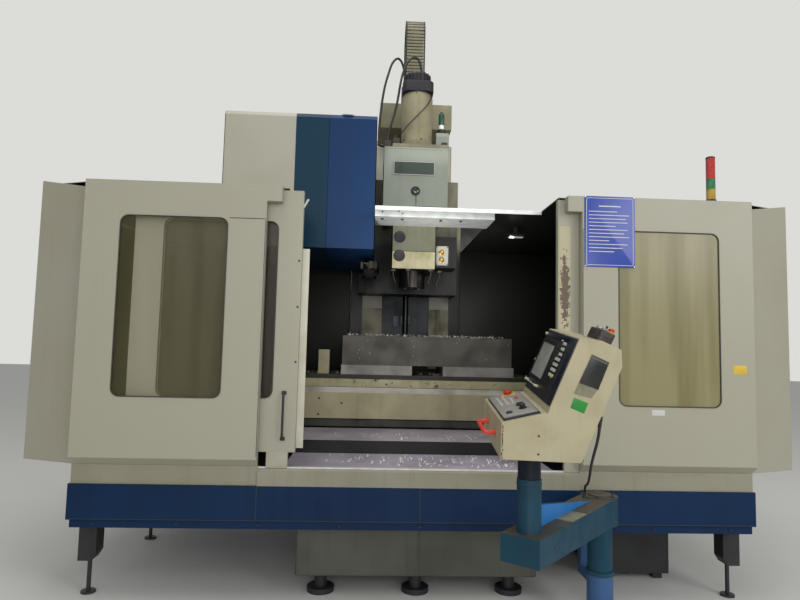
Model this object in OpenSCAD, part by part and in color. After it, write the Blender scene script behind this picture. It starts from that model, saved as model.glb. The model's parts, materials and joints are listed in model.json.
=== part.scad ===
// Large vertical machining centre: a cross table under a moving head on a fixed column,
// in a sheet-metal cabin with two sliding doors, a tool changer on the left
// and a control desk on a swing arm in front.
// Millimetres. X runs along the table, Y from the operator to the column, Z is up.
// The origin is on the floor, straight below the spindle.

/* [Cabin] */
// Distance from the spindle axis forward to the face of the fixed front panels
front_reach = 1200; // [1190:2:1240]
// Height of the lower edge of the fixed front panels
panel_low = 800; // [790:2:815]
// Height of the upper edge of the fixed front panels and of the roof
panel_high = 2350; // [2350:5:2400]
// Depth of the front panels
panel_depth = 50; // [40:1:60]
// Drop of the slanted underside of the front panels
panel_slant = 43; // [20:1:60]
// Half width of the opening between the fixed panels
opening_half = 915; // [905:1:925]
// Half width over the outer edges of the front panels
panel_half = 1936; // [1920:2:1990]
// Half width over the side walls
cabin_half = 2262; // [2230:2:2300]
// How far back the slanted corner walls run
corner_run = 121; // [80:1:160]
// Height of the side walls
side_high = 2371; // [2371:2:2400]
// Height of the slanted corner walls at the front panels
corner_high = 2315; // [2250:5:2340]
// Distance from the spindle axis back to the rear wall
rear_reach = 1000; // [980:5:1100]
// Thickness of the sheet metal
sheet = 4; // [3:0.5:5]
// Width of each window in the front panels
window_w = 598; // [500:2:620]
// Distance from the opening to the window
window_in = 215; // [180:1:230]
// Height of the lower edge of the windows
window_low = 1135; // [1000:5:1200]
// Height of the windows
window_h = 1015; // [800:5:1060]
// Corner radius of the windows
window_r = 45; // [20:1:80]
// Thickness of the window panes
pane_t = 6; // [4:0.5:8]
// Width of the header box beside each front panel
header_w = 85; // [60:1:95]
// Height of the header boxes
header_h = 93; // [60:1:120]

/* [Base] */
// Height of the chip deck, where the skirt ends and the aprons begin
deck_z = 650; // [640:1:660]
// Height of the lower edge of the skirt
skirt_low = 457; // [440:1:480]
// Height of the lower edge of the set-back band under the skirt
band_low = 412; // [400:1:430]
// How far the skirt stands outside the front panels at each side
skirt_side = 9; // [4:1:20]
// How far the skirt stands in front of the aprons
skirt_proud = 10; // [5:1:20]
// How far the band is set back behind the skirt
band_back = 15; // [8:1:30]
// Height of the front sill
sill_z = 745; // [735:1:748]
// Height of the underside of the cast bed
bed_low = 120; // [100:5:150]
// Half width of the cast bed
bed_half = 700; // [680:5:760]
// Thickness of the levelling pads on the floor
pad_h = 30; // [20:1:40]
// Height of the coolant tank
tank_h = 380; // [300:5:390]

/* [Doors] */
// Width of each sliding door
door_w = 955; // [930:1:965]
// Thickness of the doors
door_t = 40; // [30:1:45]
// Gap between the front panels and the doors
door_gap = 10; // [6:1:14]
// Height of the lower edge of the doors
door_low = 835; // [820:1:850]
// Distance from the door top to the roof
door_top_gap = 13; // [10:1:20]
// Leading edge of the left door, as it stands
left_edge = -713; // [-760:1:-680]
// Leading edge of the right door, as it stands
right_edge = 789; // [770:1:820]
// Width of the stile at the leading edge
lead_stile = 140; // [120:1:160]
// Width of the stile at the trailing edge
trail_stile = 165; // [140:1:180]
// Width of the strip on the left door that covers the joint
joint_strip = 40; // [20:1:60]
// Length of the door handles
handle_len = 279; // [200:1:320]

/* [Feed axes] */
// Front edge of the table, as it stands
table_front = 16; // [10:1:20]
// Width of the table
table_w = 800; // [780:2:802]
// Half length of the table
table_half = 1000; // [900:10:1040]
// Height of the table top
table_z = 1225; // [1215:1:1235]
// Thickness of the table
table_t = 134; // [120:1:134]
// Width of a T-slot
slot_w = 22; // [18:1:28]
// Distance between the T-slots
slot_pitch = 150; // [120:5:160]
// Height of the front way cover
cover_low_z = 742; // [735:1:744]
// Step from one way cover up to the next
cover_step = 84; // [80:1:88]
// Rise of the way covers towards the middle
cover_peak = 9; // [4:1:12]
// Half width of the front way cover
cover_half = 786; // [760:1:790]
// Rear edge of the front way cover
cover_end = -607; // [-640:1:-590]
// Diameter of the ball screws
screw_d = 50; // [40:1:56]
// Height of the steel block on the table
block_z = 1524; // [1480:1:1535]
// Height of the feet under the block
block_foot = 74; // [50:1:90]

/* [Column and head] */
// Front face of the column
column_front = 870; // [870:2:890]
// Depth of the column at its foot
column_depth = 880; // [800:10:950]
// Half width of the column below the head
column_half = 500; // [480:2:510]
// Height of the column
column_high = 3330; // [3325:5:3400]
// Height of the bracket over the column top
bracket_h = 225; // [180:5:260]
// Inner edge of each way cover on the column
way_in = 212; // [190:1:230]
// Width of each way cover on the column
way_w = 182; // [150:1:190]
// Half width of the head slide
slide_half = 425; // [415:1:430]
// Height of the lower edge of the head slide
slide_low = 1900; // [1890:1:1930]
// Half width of the spindle housing
housing_half = 160; // [140:1:170]
// Height of the lower end of the spindle housing
housing_low = 2026; // [2015:1:2060]
// Height of the flange under the head cover
lip_z = 2456; // [2440:1:2470]
// Thickness of the flange under the head cover
lip_t = 36; // [25:1:45]
// Half width of the head cover
hood_half = 242; // [238:1:246]
// Height of the head cover
hood_h = 453; // [440:1:470]
// Height of the spindle nose
nose_z = 1895; // [1890:1:1920]
// Diameter of the spindle nose
nose_d = 200; // [160:2:220]
// Diameter of the spindle motor
motor_d = 241; // [220:1:250]
// Height of the spindle motor without its fan
motor_h = 385; // [340:5:400]
// Width of the energy chain
chain_w = 160; // [120:1:170]
// Outer radius of the bend of the energy chain
chain_r = 170; // [150:1:175]
// Height of the centre of that bend
chain_z = 4050; // [3950:10:4100]

/* [Tool changer] */
// Right side of the tool changer, beside the head
changer_right = -298; // [-305:1:-290]
// Width of the right-hand cover
cover_w = 548; // [520:2:560]
// Width of the left-hand housing
drum_w = 479; // [460:2:500]
// Front face of the tool changer
changer_front = -620; // [-625:1:-600]
// Depth of the tool changer covers
changer_depth = 1180; // [1170:2:1200]
// Height of the underside of the tool changer
changer_low = 2092; // [2088:1:2096]
// Height of the tool changer covers
changer_h = 923; // [915:1:940]
// Number of tool pots
pot_count = 20; // [16:1:20]
// Outer diameter of a tool pot
pot_d = 96; // [80:1:100]
// Distance from the arm's axis to the spindle axis
arm_reach = 332; // [328:1:336]

/* [Control desk] */
// Place of the swing arm's pivot, to the right of the spindle
pivot_x = 955; // [950:1:960]
// Distance of the pivot in front of the front panels
pivot_out = 150; // [140:1:200]
// Place of the desk's post, to the right of the spindle
post_x = 396; // [380:1:410]
// Distance of the post in front of the front panels
post_out = 806; // [790:2:820]
// Height of the top of the swing arm
arm_z = 668; // [650:1:680]
// Height of the swing arm at the post
arm_h = 118; // [100:1:130]
// Extra height of the swing arm at the pivot
arm_flare = 20; // [0:1:30]
// Width of the swing arm
arm_w = 180; // [140:2:190]
// Diameter of the post
post_d = 105; // [90:1:120]
// Width of the desk
desk_w = 470; // [465:1:480]
// Sideways lean of the desk, in degrees
desk_lean = 6.5; // [6:0.1:7]
// Thickness of the desk's sheet metal
desk_sheet = 3; // [2:0.5:4]

/* [Hidden] */

$fn = 48;
slit = 0.3;
e = 0.01;
cream = [0.66, 0.65, 0.57];
navy = [0.05, 0.17, 0.33];
steel = [0.6, 0.6, 0.6];
dark = [0.12, 0.13, 0.14];

front_y = -front_reach;
apron_y = front_y + panel_depth;
sheet_y = apron_y + sheet;
skirt_y = apron_y - skirt_proud;
skirt_half = panel_half + skirt_side;
panel_foot = panel_low - panel_slant;
window_x = opening_half + window_in;
pane_lap = 20;
roof_under = panel_high - sheet;
corner_y = apron_y + corner_run;
door_y = apron_y + door_gap;
door_back = door_y + door_t;
door_high = panel_high - door_top_gap;
rail_y = door_y + 4;
rail_w = 20;
rail_top = sill_z + 7;

// Rectangle from one corner to the other
module span(low, high) { translate(low) cube(high - low); }
// The same piece on both sides of the middle plane
module both() { children(); mirror([1, 0, 0]) children(); }
// Upright cylinder from one height to another
module rod(x, y, z0, z1, d) { translate([x, y, z0]) cylinder(h = z1 - z0, d = d); }
// Outline in X and Z, run back from y0 to y1
module run_y(y0, y1) { translate([0, y1, 0]) rotate([90, 0, 0]) linear_extrude(y1 - y0) children(); }
// Outline in Y and Z, run along X from x0 to x1
module run_x(x0, x1) { translate([x0, 0, 0]) rotate([90, 0, 90]) linear_extrude(x1 - x0) children(); }
// Rectangle with round corners, from its lower left corner
module round_rect(w, h, r) {
    union() {
        translate([r, 0]) square([w - 2 * r, h]);
        translate([0, r]) square([w, h - 2 * r]);
        for (x = [r, w - r], y = [r, h - r]) translate([x, y]) circle(r);
    }
}

// Cast bed with a trough between its two ways
way_half = 500;
way_bar = 120;
way_top = deck_z + 70;
bed_front = apron_y + 110;
bed_rear = column_front + column_depth;
module bed() {
    color("dimgray") {
        difference() {
            span([-bed_half, bed_front, bed_low], [bed_half, bed_rear, deck_z]);
            span([-400, bed_front + 60, 420], [400, column_front - 10, deck_z + 1]);
        }
        both() span([way_half - way_bar / 2, bed_front + 60, deck_z - e],
            [way_half + way_bar / 2, column_front - 20, way_top]);
    }
}

// Feet: levelling pads with jack screws under the bed, and legs under the overhanging sides.
// A leg is a post with a cut corner, a jack screw and a foot plate.
pad_d = 160;
pad_in = 120;
pad_x = bed_half - 140;
leg_in = 65;
leg_x = skirt_half - leg_in;
leg_w = 100;
leg_foot_z = 190;
module leg(x, y) {
    run_y(y - leg_w / 2, y + leg_w / 2)
        polygon([[x - leg_w / 2, band_low], [x - leg_w / 2, leg_foot_z + 40], [x - leg_w / 4, leg_foot_z],
            [x + leg_w / 2, leg_foot_z], [x + leg_w / 2, band_low]]);
    rod(x, y, 10, leg_foot_z + e, 24);
    rod(x, y, 0, 12, 80);
}
module levelling_feet() {
    color(dark) {
        for (x = [-pad_x, 0, pad_x], y = [bed_front + pad_in, 0, column_front - 170, bed_rear - pad_in]) {
            rod(x, y, 0, pad_h, pad_d);
            rod(x, y, pad_h - e, bed_low, 70);
        }
        both() for (y = [skirt_y + 190, 0, rear_reach - 70]) leg(leg_x, y);
    }
}

// Rectangular ring of sheet metal
module ring(half, y0, y1, z0, z1, t) {
    difference() {
        span([-half, y0, z0], [half, y1, z1]);
        span([-half + t, y0 + t, z0 - 1], [half - t, y1 - t, z1 + 1]);
    }
}

// Blue base skirt with the chip deck on top, the set-back band below and a drain spout
spout = [1300, -300];
module base_skirt() {
    color(navy) difference() {
        union() {
            ring(skirt_half, skirt_y, rear_reach, skirt_low, deck_z, sheet);
            ring(skirt_half, skirt_y, rear_reach, skirt_low, skirt_low + sheet, band_back + sheet);
            ring(skirt_half - band_back, skirt_y + band_back, rear_reach - band_back,
                band_low, skirt_low + e, sheet);
            span([-skirt_half + 1, skirt_y + 1, deck_z - sheet], [skirt_half - 1, rear_reach - 1, deck_z]);
            span([spout[0], spout[1], tank_h + slit], [spout[0] + 100, spout[1] + 100, deck_z - 1]);
        }
        span([-bed_half, bed_front, deck_z - sheet - 1], [bed_half, rear_reach + 1, deck_z + 1]);
        span([-bed_half, rear_reach - 60, band_low - 1], [bed_half, rear_reach + 1, deck_z + 1]);
        span([spout[0] + sheet, spout[1] + sheet, tank_h - 1],
            [spout[0] + 100 - sheet, spout[1] + 100 - sheet, deck_z + 1]);
    }
}

// Sill across the door opening, with a rolled upper edge, and the aprons under the two front panels
module front_aprons() {
    back = rail_y - 2;
    color(cream) {
        run_x(-opening_half, opening_half) polygon([
            [skirt_y, deck_z], [skirt_y, sill_z - 7], [skirt_y + 7, sill_z], [back, sill_z],
            [back, sill_z - sheet], [skirt_y + 9, sill_z - sheet], [skirt_y + sheet, sill_z - 9],
            [skirt_y + sheet, deck_z]]);
        both() span([opening_half, apron_y, deck_z], [panel_half - sheet, sheet_y, panel_foot]);
    }
}

// Two fixed front panels: folded sheet with end plates, a window and a header box at the top
module front_panel() {
    color(cream) difference() {
        union() {
            run_x(opening_half, panel_half) polygon([
                [front_y, panel_low], [front_y, panel_high], [apron_y, panel_high], [apron_y, roof_under],
                [front_y + sheet, roof_under], [front_y + sheet, panel_low + sheet / 2],
                [apron_y, panel_foot + sheet], [apron_y, panel_foot]]);
            for (x = [opening_half, panel_half - sheet]) run_x(x, x + sheet) polygon([
                [front_y, panel_low], [front_y, panel_high], [apron_y, panel_high], [apron_y, panel_foot]]);
            difference() {
                span([opening_half - header_w, front_y, panel_high - header_h],
                    [opening_half + e, apron_y, panel_high]);
                span([opening_half - header_w + sheet, front_y + sheet, panel_high - header_h + sheet],
                    [opening_half, apron_y + 1, panel_high - sheet]);
            }
        }
        translate([window_x, 0, window_low]) run_y(front_y - 1, front_y + sheet + 1)
            round_rect(window_w, window_h, window_r);
    }
}
module front_panels() { both() front_panel(); }

// Panes behind the windows of the front panels
module front_windows() {
    color([0.4, 0.38, 0.3, 0.4]) both()
        span([window_x - pane_lap, front_y + sheet, window_low - pane_lap],
            [window_x + window_w + pane_lap, front_y + sheet + pane_t, window_low + window_h + pane_lap]);
}

// Side wall: slanted corner, straight side, bottom pan and the low wall beside the deck
module side_wall() {
    slope = sheet / cos(atan(corner_run / (cabin_half - panel_half)));
    color(cream) {
        difference() {
            translate([0, 0, panel_foot]) linear_extrude(side_high - panel_foot) polygon([
                [panel_half, apron_y], [cabin_half, corner_y], [cabin_half, rear_reach],
                [cabin_half - sheet, rear_reach], [cabin_half - sheet, corner_y + slope],
                [panel_half, apron_y + slope], [panel_half - 30, apron_y + slope], [panel_half - 30, apron_y]]);
            run_y(apron_y - 1, corner_y - e) polygon([
                [panel_half - 40, corner_high], [panel_half, corner_high], [cabin_half, side_high],
                [cabin_half, side_high + 40], [panel_half - 40, side_high + 40]]);
            span([panel_half - 40, apron_y - 1, corner_high], [panel_half + 1, sheet_y + 2, side_high + 1]);
        }
        translate([0, 0, panel_foot]) linear_extrude(sheet) polygon([
            [panel_half - sheet, sheet_y], [panel_half, apron_y + 1], [cabin_half - 1, corner_y],
            [cabin_half - 1, rear_reach], [panel_half - sheet, rear_reach]]);
        span([panel_half - sheet, apron_y, deck_z], [panel_half, rear_reach, panel_foot + 1]);
    }
}
module left_side_wall() { mirror([1, 0, 0]) side_wall(); }
module right_side_wall() { side_wall(); }

// Rear wall in two halves, with the column standing between them
module rear_wall() {
    color(cream) both() {
        span([column_half + 5, rear_reach, panel_foot], [cabin_half, rear_reach + sheet, side_high]);
        span([column_half + 5, rear_reach, deck_z], [panel_half, rear_reach + sheet, panel_foot + 1]);
        span([column_half + 5, rear_reach - 30, deck_z], [column_half + 5 + sheet, rear_reach + 1, side_high]);
    }
}

// Roof in two sheets, open over the front of the door opening, round the head and round the changer
notch_left = -800;
notch_right = 790;
bridge_front = -790;
bridge_back = -400;
roof_in = 520;
changer_left = changer_right - cover_w - drum_w;
changer_back = changer_front + changer_depth;
module roof() {
    edge = cabin_half - 12;
    module sheet_top() { translate([0, 0, roof_under]) linear_extrude(sheet) children(); }
    color(cream) {
        sheet_top() polygon([
            [-panel_half + 11, apron_y], [notch_left, apron_y], [notch_left, changer_front - 8],
            [changer_left - 10, changer_front - 8], [changer_left - 10, changer_back + 8],
            [-roof_in, changer_back + 8], [-roof_in, rear_reach],
            [-edge, rear_reach], [-edge, corner_y + 6]]);
        sheet_top() polygon([
            [notch_right, apron_y], [panel_half - 11, apron_y], [edge, corner_y + 6], [edge, rear_reach],
            [roof_in, rear_reach], [roof_in, bridge_back], [changer_right, bridge_back],
            [changer_right, bridge_front], [notch_right, bridge_front]]);
        span([changer_right, bridge_front, roof_under - 22], [notch_right, bridge_front + sheet, roof_under + e]);
        span([notch_right, apron_y + 2, roof_under - 6], [notch_right + sheet, bridge_front + sheet, roof_under + e]);
    }
}

// Zinc-coated channel under the roof bridge
beam_end = 500;
beam_h = 46;
module roof_beam() {
    color("gainsboro") run_x(changer_right, beam_end) polygon([
        [bridge_front + 90, roof_under], [bridge_front + 90, roof_under - beam_h],
        [bridge_back - 4, roof_under - beam_h], [bridge_back - 4, roof_under],
        [bridge_back - 7, roof_under], [bridge_back - 7, roof_under - beam_h + 3],
        [bridge_front + 93, roof_under - beam_h + 3], [bridge_front + 93, roof_under]]);
}

// Upper door channels behind the panels and one lower rail on the deck
channel_gap = 3;
module door_rails() {
    color(steel) {
        both() run_x(opening_half - header_w, panel_half - 36) polygon([
            [door_y - channel_gap - 3, roof_under], [door_y - channel_gap - 3, door_high - 27],
            [door_y - channel_gap, door_high - 27], [door_y - channel_gap, roof_under - 4],
            [door_back + channel_gap, roof_under - 4], [door_back + channel_gap, door_high - 27],
            [door_back + channel_gap + 3, door_high - 27], [door_back + channel_gap + 3, roof_under]]);
        span([-panel_half + 36, rail_y, deck_z], [panel_half - 36, rail_y + rail_w, rail_top]);
    }
}

// Sliding door, drawn with its leading edge at x = 0 and its body to the right
module door() {
    shoe = 4;
    rail_gap = 0.5;
    color(cream) {
        difference() {
            span([0, door_y, door_low], [door_w, door_back, door_high]);
            translate([lead_stile, 0, window_low]) run_y(door_y - 1, door_back + 1)
                round_rect(door_w - lead_stile - trail_stile, window_h, window_r);
            span([lead_stile - pane_lap, door_back - 16, window_low - pane_lap],
                [door_w - trail_stile + pane_lap, door_back + 1, window_low + window_h + pane_lap]);
        }
        for (x = [40, door_w - 160]) {
            span([x, rail_y - rail_gap - shoe, rail_top + 3],
                [x + 120, rail_y + rail_w + rail_gap + shoe, door_low + e]);
            for (y = [rail_y - rail_gap - shoe, rail_y + rail_w + rail_gap])
                span([x, y, rail_top - 6], [x + 120, y + shoe, rail_top + 4]);
        }
    }
}
module left_door() {
    translate([left_edge, 0, 0]) mirror([1, 0, 0]) door();
    color("ivory") span([left_edge - 12, door_back, door_low + 18],
        [left_edge + joint_strip, door_back + 4.5, door_high - 335]);
}
module right_door() { translate([right_edge, 0, 0]) door(); }
module door_pane() {
    color([0.4, 0.38, 0.3, 0.4])
        span([lead_stile - pane_lap + 1, door_back - 16, window_low - pane_lap + 1],
            [door_w - trail_stile + pane_lap - 1, door_back - 16 + pane_t, window_low + window_h + pane_lap - 1]);
}
module left_door_pane() { translate([left_edge, 0, 0]) mirror([1, 0, 0]) door_pane(); }
module right_door_pane() { translate([right_edge, 0, 0]) door_pane(); }

// Bow handle on the leading stile of each door
handle_in = 72;
handle_low = 899;
module bow_handle(x) {
    color(dark) {
        span([x - 7, door_y - 38, handle_low], [x + 7, door_y - 24, handle_low + handle_len]);
        for (z = [handle_low, handle_low + handle_len - 22])
            span([x - 7, door_y - 30, z], [x + 7, door_y, z + 22]);
    }
}
module left_door_handle() { bow_handle(left_edge - handle_in); }
module right_door_handle() { bow_handle(right_edge + handle_in); }

// Column: hollow casting that steps in towards the top, with an overhanging bracket
bracket_front = 454;
step_z = [2685, 2940];
step_half = [450, 400];
bracket_x = [-278, 345];
module column() {
    top = column_high;
    color("dimgray") difference() {
        union() {
            span([-column_half, column_front, deck_z], [column_half, bed_rear, deck_z + 450]);
            run_x(-column_half, column_half) polygon([[column_front, deck_z], [column_front, step_z[0]],
                [bed_rear - 200, step_z[0]], [bed_rear - 40, deck_z + 450]]);
            span([-step_half[0], column_front, step_z[0] - 5], [step_half[0], bed_rear - 200, step_z[1] + 6]);
            span([-step_half[1], column_front, step_z[1]], [step_half[1], bed_rear - 230, top]);
            run_x(bracket_x[0], bracket_x[1]) polygon([[bracket_front, top], [bracket_front, top + bracket_h],
                [bed_rear - 300, top + bracket_h], [bed_rear - 300, top - 20], [column_front + 10, top - 20],
                [column_front + 10, top]]);
        }
        span([-300, column_front + 120, deck_z + 100], [300, bed_rear + 1, top - 150]);
    }
}

// Covers over the two column ways, and the blue panel between them
way_front = column_front - 30;
way_low = table_z + 25;
module column_way_covers() {
    color("silver") both() span([way_in, way_front, way_low], [way_in + way_w, column_front, column_high - 10]);
}
module column_panel() {
    color([0.05, 0.12, 0.2]) span([-way_in + 5, column_front - 12, way_low], [way_in - 5, column_front, column_high - 10]);
}

// Servo motors of the height drive on the column bracket and of the depth drive on the bed
screw_y = way_front - 40;
module drive_motors() {
    top = column_high + bracket_h;
    color("black") {
        span([-90, screw_y - 90, top], [90, screw_y + 90, top + 60]);
        rod(0, screw_y, top + 60 - e, top + 290, 170);
        span([-80, bed_front + 60, deck_z - 90], [80, bed_front + 90, deck_z + 50]);
        translate([0, bed_front + 90 - e, deck_z - 40]) rotate([-90, 0, 0]) cylinder(h = 200, d = 120);
    }
}
// Ball screws of the depth and height drives
module ball_screws() {
    color(steel) {
        translate([0, bed_front + 290, deck_z - 40]) rotate([-90, 0, 0])
            cylinder(h = column_front - 10 - bed_front - 290, d = screw_d);
        rod(0, screw_y, slide_low - 450, column_high, screw_d);
        span([-80, screw_y - 50, slide_low - 450], [80, column_front - 12, slide_low - 410]);
    }
}

// Covers of the tool changer: open boxes that meet side by side
module open_box(x0, x1, open_right) {
    y1 = changer_back;
    z1 = changer_low + changer_h;
    difference() {
        span([x0, changer_front, changer_low], [x1, y1, z1]);
        span([x0 + (open_right ? sheet : -1), changer_front + sheet, changer_low + sheet],
            [x1 + (open_right ? 1 : -sheet), y1 - sheet, z1 - sheet]);
    }
}
changer_seam = changer_right - cover_w;
module drum_housing() { color(cream) open_box(changer_left, changer_seam, true); }
module changer_cover() {
    color(navy) difference() {
        open_box(changer_seam, changer_right, false);
        rod(-arm_reach, 0, changer_low - 1, changer_low + 20, 90);
        span([-760, -150, changer_low - 1], [-470, 150, changer_low + sheet + 1]);
        span([frame_x - 4, changer_back - 20, frame_z - 4],
            [frame_x + 84, changer_back + 1, frame_z + 144]);
    }
}

// Cast frame of the tool changer: bracket from the column, beam, drum shaft and arm gearbox
frame_x = -520;
frame_z = 2480;
drum_z = changer_low + changer_h / 2;
drum_x = changer_left + 195;
beam_y = changer_back - 115;
shaft_d = 80;
module changer_frame() {
    color("slategray") difference() {
        union() {
            span([frame_x, beam_y, frame_z], [frame_x + 80, column_front, frame_z + 140]);
            span([changer_left + 125, beam_y, frame_z], [frame_x + 80, beam_y + 100, frame_z + 140]);
            span([changer_left + 125, -60, frame_z], [changer_left + 155, beam_y + 100, frame_z + 140]);
            span([frame_x + 60, -130, frame_z - 40], [frame_x + 180, beam_y + 100, frame_z + e]);
            span([-arm_reach - 130, -130, changer_low + 38], [-arm_reach + 26, 130, frame_z - 39]);
            translate([changer_left + 155 - e, 0, drum_z]) rotate([0, 90, 0]) cylinder(h = 70, d = shaft_d);
        }
        rod(-arm_reach, 0, changer_low, changer_low + 250, 40.1);
    }
}

// Tool drum: a disc with a ring of loaded tool pots and a hub on the shaft
drum_r = 370;
module tool_drum() {
    color("silver") translate([drum_x, 0, drum_z]) rotate([0, 90, 0]) difference() {
        union() {
            cylinder(h = 20, r = drum_r + 40);
            translate([0, 0, -30]) cylinder(h = 60, d = shaft_d + 80);
            for (i = [0 : pot_count - 1]) rotate([0, 0, i * 360 / pot_count])
                translate([drum_r, 0, 20 - e]) cylinder(h = 110, d = pot_d);
        }
        translate([0, 0, -31]) cylinder(h = 62, d = shaft_d + 0.1);
    }
}

// Double tool-change arm, parked front to back, on its shaft
arm_low = 1995;
arm_t = 50;
module change_arm() {
    color(steel) {
        difference() {
            union() {
                rod(-arm_reach, 0, arm_low, arm_low + arm_t + 5, 150);
                span([-arm_reach - 38, -arm_reach + 40, arm_low], [-arm_reach + 38, arm_reach - 40, arm_low + arm_t]);
                for (y = [-arm_reach, arm_reach]) rod(-arm_reach, y, arm_low, arm_low + arm_t, 118);
            }
            for (s = [-1, 1]) {
                rod(-arm_reach, s * arm_reach, arm_low - 1, arm_low + arm_t + 1, 82);
                translate([-arm_reach, s * arm_reach, arm_low - 1]) rotate([0, 0, s * 90 - 90])
                    cube([90, 90, arm_t + 2]);
            }
        }
        rod(-arm_reach, 0, arm_low + arm_t, changer_low + 230, 40);
    }
}

// Electrical cabinet on the rear wall: an open box on a plinth, with its door behind
cab_x = 720;
cab_w = 1000;
cab_d = 446;
cab_low = 120;
cab_high = 2100;
cab_y = rear_reach + sheet;
module electrical_cabinet() {
    color(cream) {
        difference() {
            span([cab_x, cab_y, cab_low], [cab_x + cab_w, cab_y + cab_d, cab_high]);
            span([cab_x + 3, cab_y + 3, cab_low + 3], [cab_x + cab_w - 3, cab_y + cab_d + 1, cab_high - 3]);
        }
        span([cab_x + 40, cab_y + 3 - e, cab_low + 60], [cab_x + cab_w - 40, cab_y + 30, cab_high - 60]);
    }
    color(dark) {
        span([cab_x + 20, cab_y + 20, 0], [cab_x + cab_w - 20, cab_y + cab_d - 20, cab_low + e]);
        for (z = hinge_z) {
            span([hinge_x + 0.6, cab_y + cab_d - e, z - 20], [hinge_x + 8, hinge_y - 0.5, z]);
            rod(hinge_x, hinge_y, z - 20, z + 40, 8);
        }
    }
}
// Door of the cabinet, with a barrel on each hinge pin
cab_door_t = 20;
hinge_z = [cab_low + 200, cab_high - 250];
hinge_x = cab_x + cab_w - 4;
hinge_y = cab_y + cab_d + 0.5 + cab_door_t;
module cabinet_door() {
    y = cab_y + cab_d + 0.5;
    color(cream) difference() {
        union() {
            span([cab_x + 4, y, cab_low + 2], [hinge_x, hinge_y, cab_high - 2]);
            span([cab_x + 40, hinge_y - e, 1100], [cab_x + 70, hinge_y + 25, 1240]);
            for (z = hinge_z) rod(hinge_x, hinge_y, z + 0.5, z + 60, 18);
        }
        for (z = hinge_z) {
            rod(hinge_x, hinge_y, z - 1, z + 45, 8.4);
            span([hinge_x - 12, y - 1, z - 22], [hinge_x + 12, hinge_y + 12, z + 0.5]);
        }
    }
}

// Coolant tank on low feet, with the pump on top
tank = [1180, -732, 460, 1332];
module coolant_tank() {
    color(dark) {
        difference() {
            span([tank[0], tank[1], 40], [tank[0] + tank[2], tank[1] + tank[3], tank_h]);
            span([tank[0] + 3, tank[1] + 3, 43], [tank[0] + tank[2] - 3, tank[1] + tank[3] - 3, tank_h - 3]);
            span([spout[0] + 10, spout[1] + 10, tank_h - 10], [spout[0] + 90, spout[1] + 90, tank_h + 1]);
        }
        for (x = [tank[0] + 30, tank[0] + tank[2] - 90], y = [tank[1] + 30, tank[1] + tank[3] - 90])
            span([x, y, 0], [x + 60, y + 60, 40 + e]);
    }
}
module coolant_pump() {
    x = tank[0] + tank[2] / 2;
    y = tank[1] + tank[3] - 200;
    color("teal") {
        rod(x, y, tank_h, tank_h + 20, 180);
        rod(x, y, tank_h + 20 - e, tank_h + 190, 130);
        rod(x, y, tank_h + 190 - e, tank_h + 215, 100);
    }
}

// Signal light on the roof: base, three lenses and a cap
stack_x = 1745;
stack_y = apron_y + 50;
stack_d = 54;
lens_z = [panel_high + 30, panel_high + 94, panel_high + 158, panel_high + 287];
module stack_light_base() {
    color(dark) {
        rod(stack_x, stack_y, panel_high, lens_z[0], stack_d + 8);
        rod(stack_x, stack_y, lens_z[3], lens_z[3] + 10, stack_d);
        rod(stack_x, stack_y, lens_z[0] - e, lens_z[3] + e, 12);
    }
}
module lens(i) {
    difference() {
        rod(stack_x, stack_y, lens_z[i], lens_z[i + 1], stack_d);
        rod(stack_x, stack_y, lens_z[i] - 1, lens_z[i + 1] + 1, 40);
    }
}
module stack_lenses() {
    color("gold") lens(0);
    color("green") lens(1);
    color("red") lens(2);
}

// Blue rule board on the right-hand front panel
board_x = 926;
board_low = panel_high - 417;
module sign_board() {
    color([0.17, 0.27, 0.6]) span([board_x, front_y - 4, board_low], [board_x + 299, front_y, panel_high + 1]);
}

// Work light under the roof
module work_light() {
    color("gray") {
        span([676, -330, roof_under - 84], [795, -270, roof_under - 56]);
        span([720, -310, roof_under - 57], [750, -290, roof_under]);
    }
}

// Front way cover, fixed: a slightly peaked plate with skirts
cover_top = cover_low_z + cover_peak;
cover_front = rail_y + rail_w + 6;
module peaked(half, z, drop) {
    polygon([[-half, z - drop], [-half, z], [0, z + cover_peak], [half, z], [half, z - drop],
        [half - 3, z - drop], [half - 3, z - 3], [0, z + cover_peak - 3], [-half + 3, z - 3], [-half + 3, z - drop]]);
}
module front_way_cover() {
    color("gray") {
        run_y(cover_front, cover_end) peaked(cover_half, cover_low_z, cover_low_z - deck_z);
        run_y(cover_front, cover_front + 3) polygon([[-cover_half, deck_z], [-cover_half, cover_low_z],
            [0, cover_top], [cover_half, cover_low_z], [cover_half, deck_z]]);
    }
}

// Middle way cover: the next step, which slides over the front one
middle_z = cover_low_z + cover_step;
middle_end = -12;
wiper_gap = 0.5;
wiped = cover_half + wiper_gap;
module middle_way_cover() {
    half = cover_half + 6;
    color("gray") {
        run_y(cover_end, middle_end) peaked(half, middle_z, middle_z - deck_z - 20);
        difference() {
            run_y(cover_end, cover_end + 3) polygon([[-half, deck_z + 20], [-half, middle_z],
                [0, middle_z + cover_peak], [half, middle_z], [half, deck_z + 20]]);
            run_y(cover_end - 1, cover_end + 4) polygon([[-wiped, deck_z], [-wiped, cover_low_z + wiper_gap],
                [0, cover_top + wiper_gap], [wiped, cover_low_z + wiper_gap], [wiped, deck_z]]);
        }
    }
}

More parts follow.
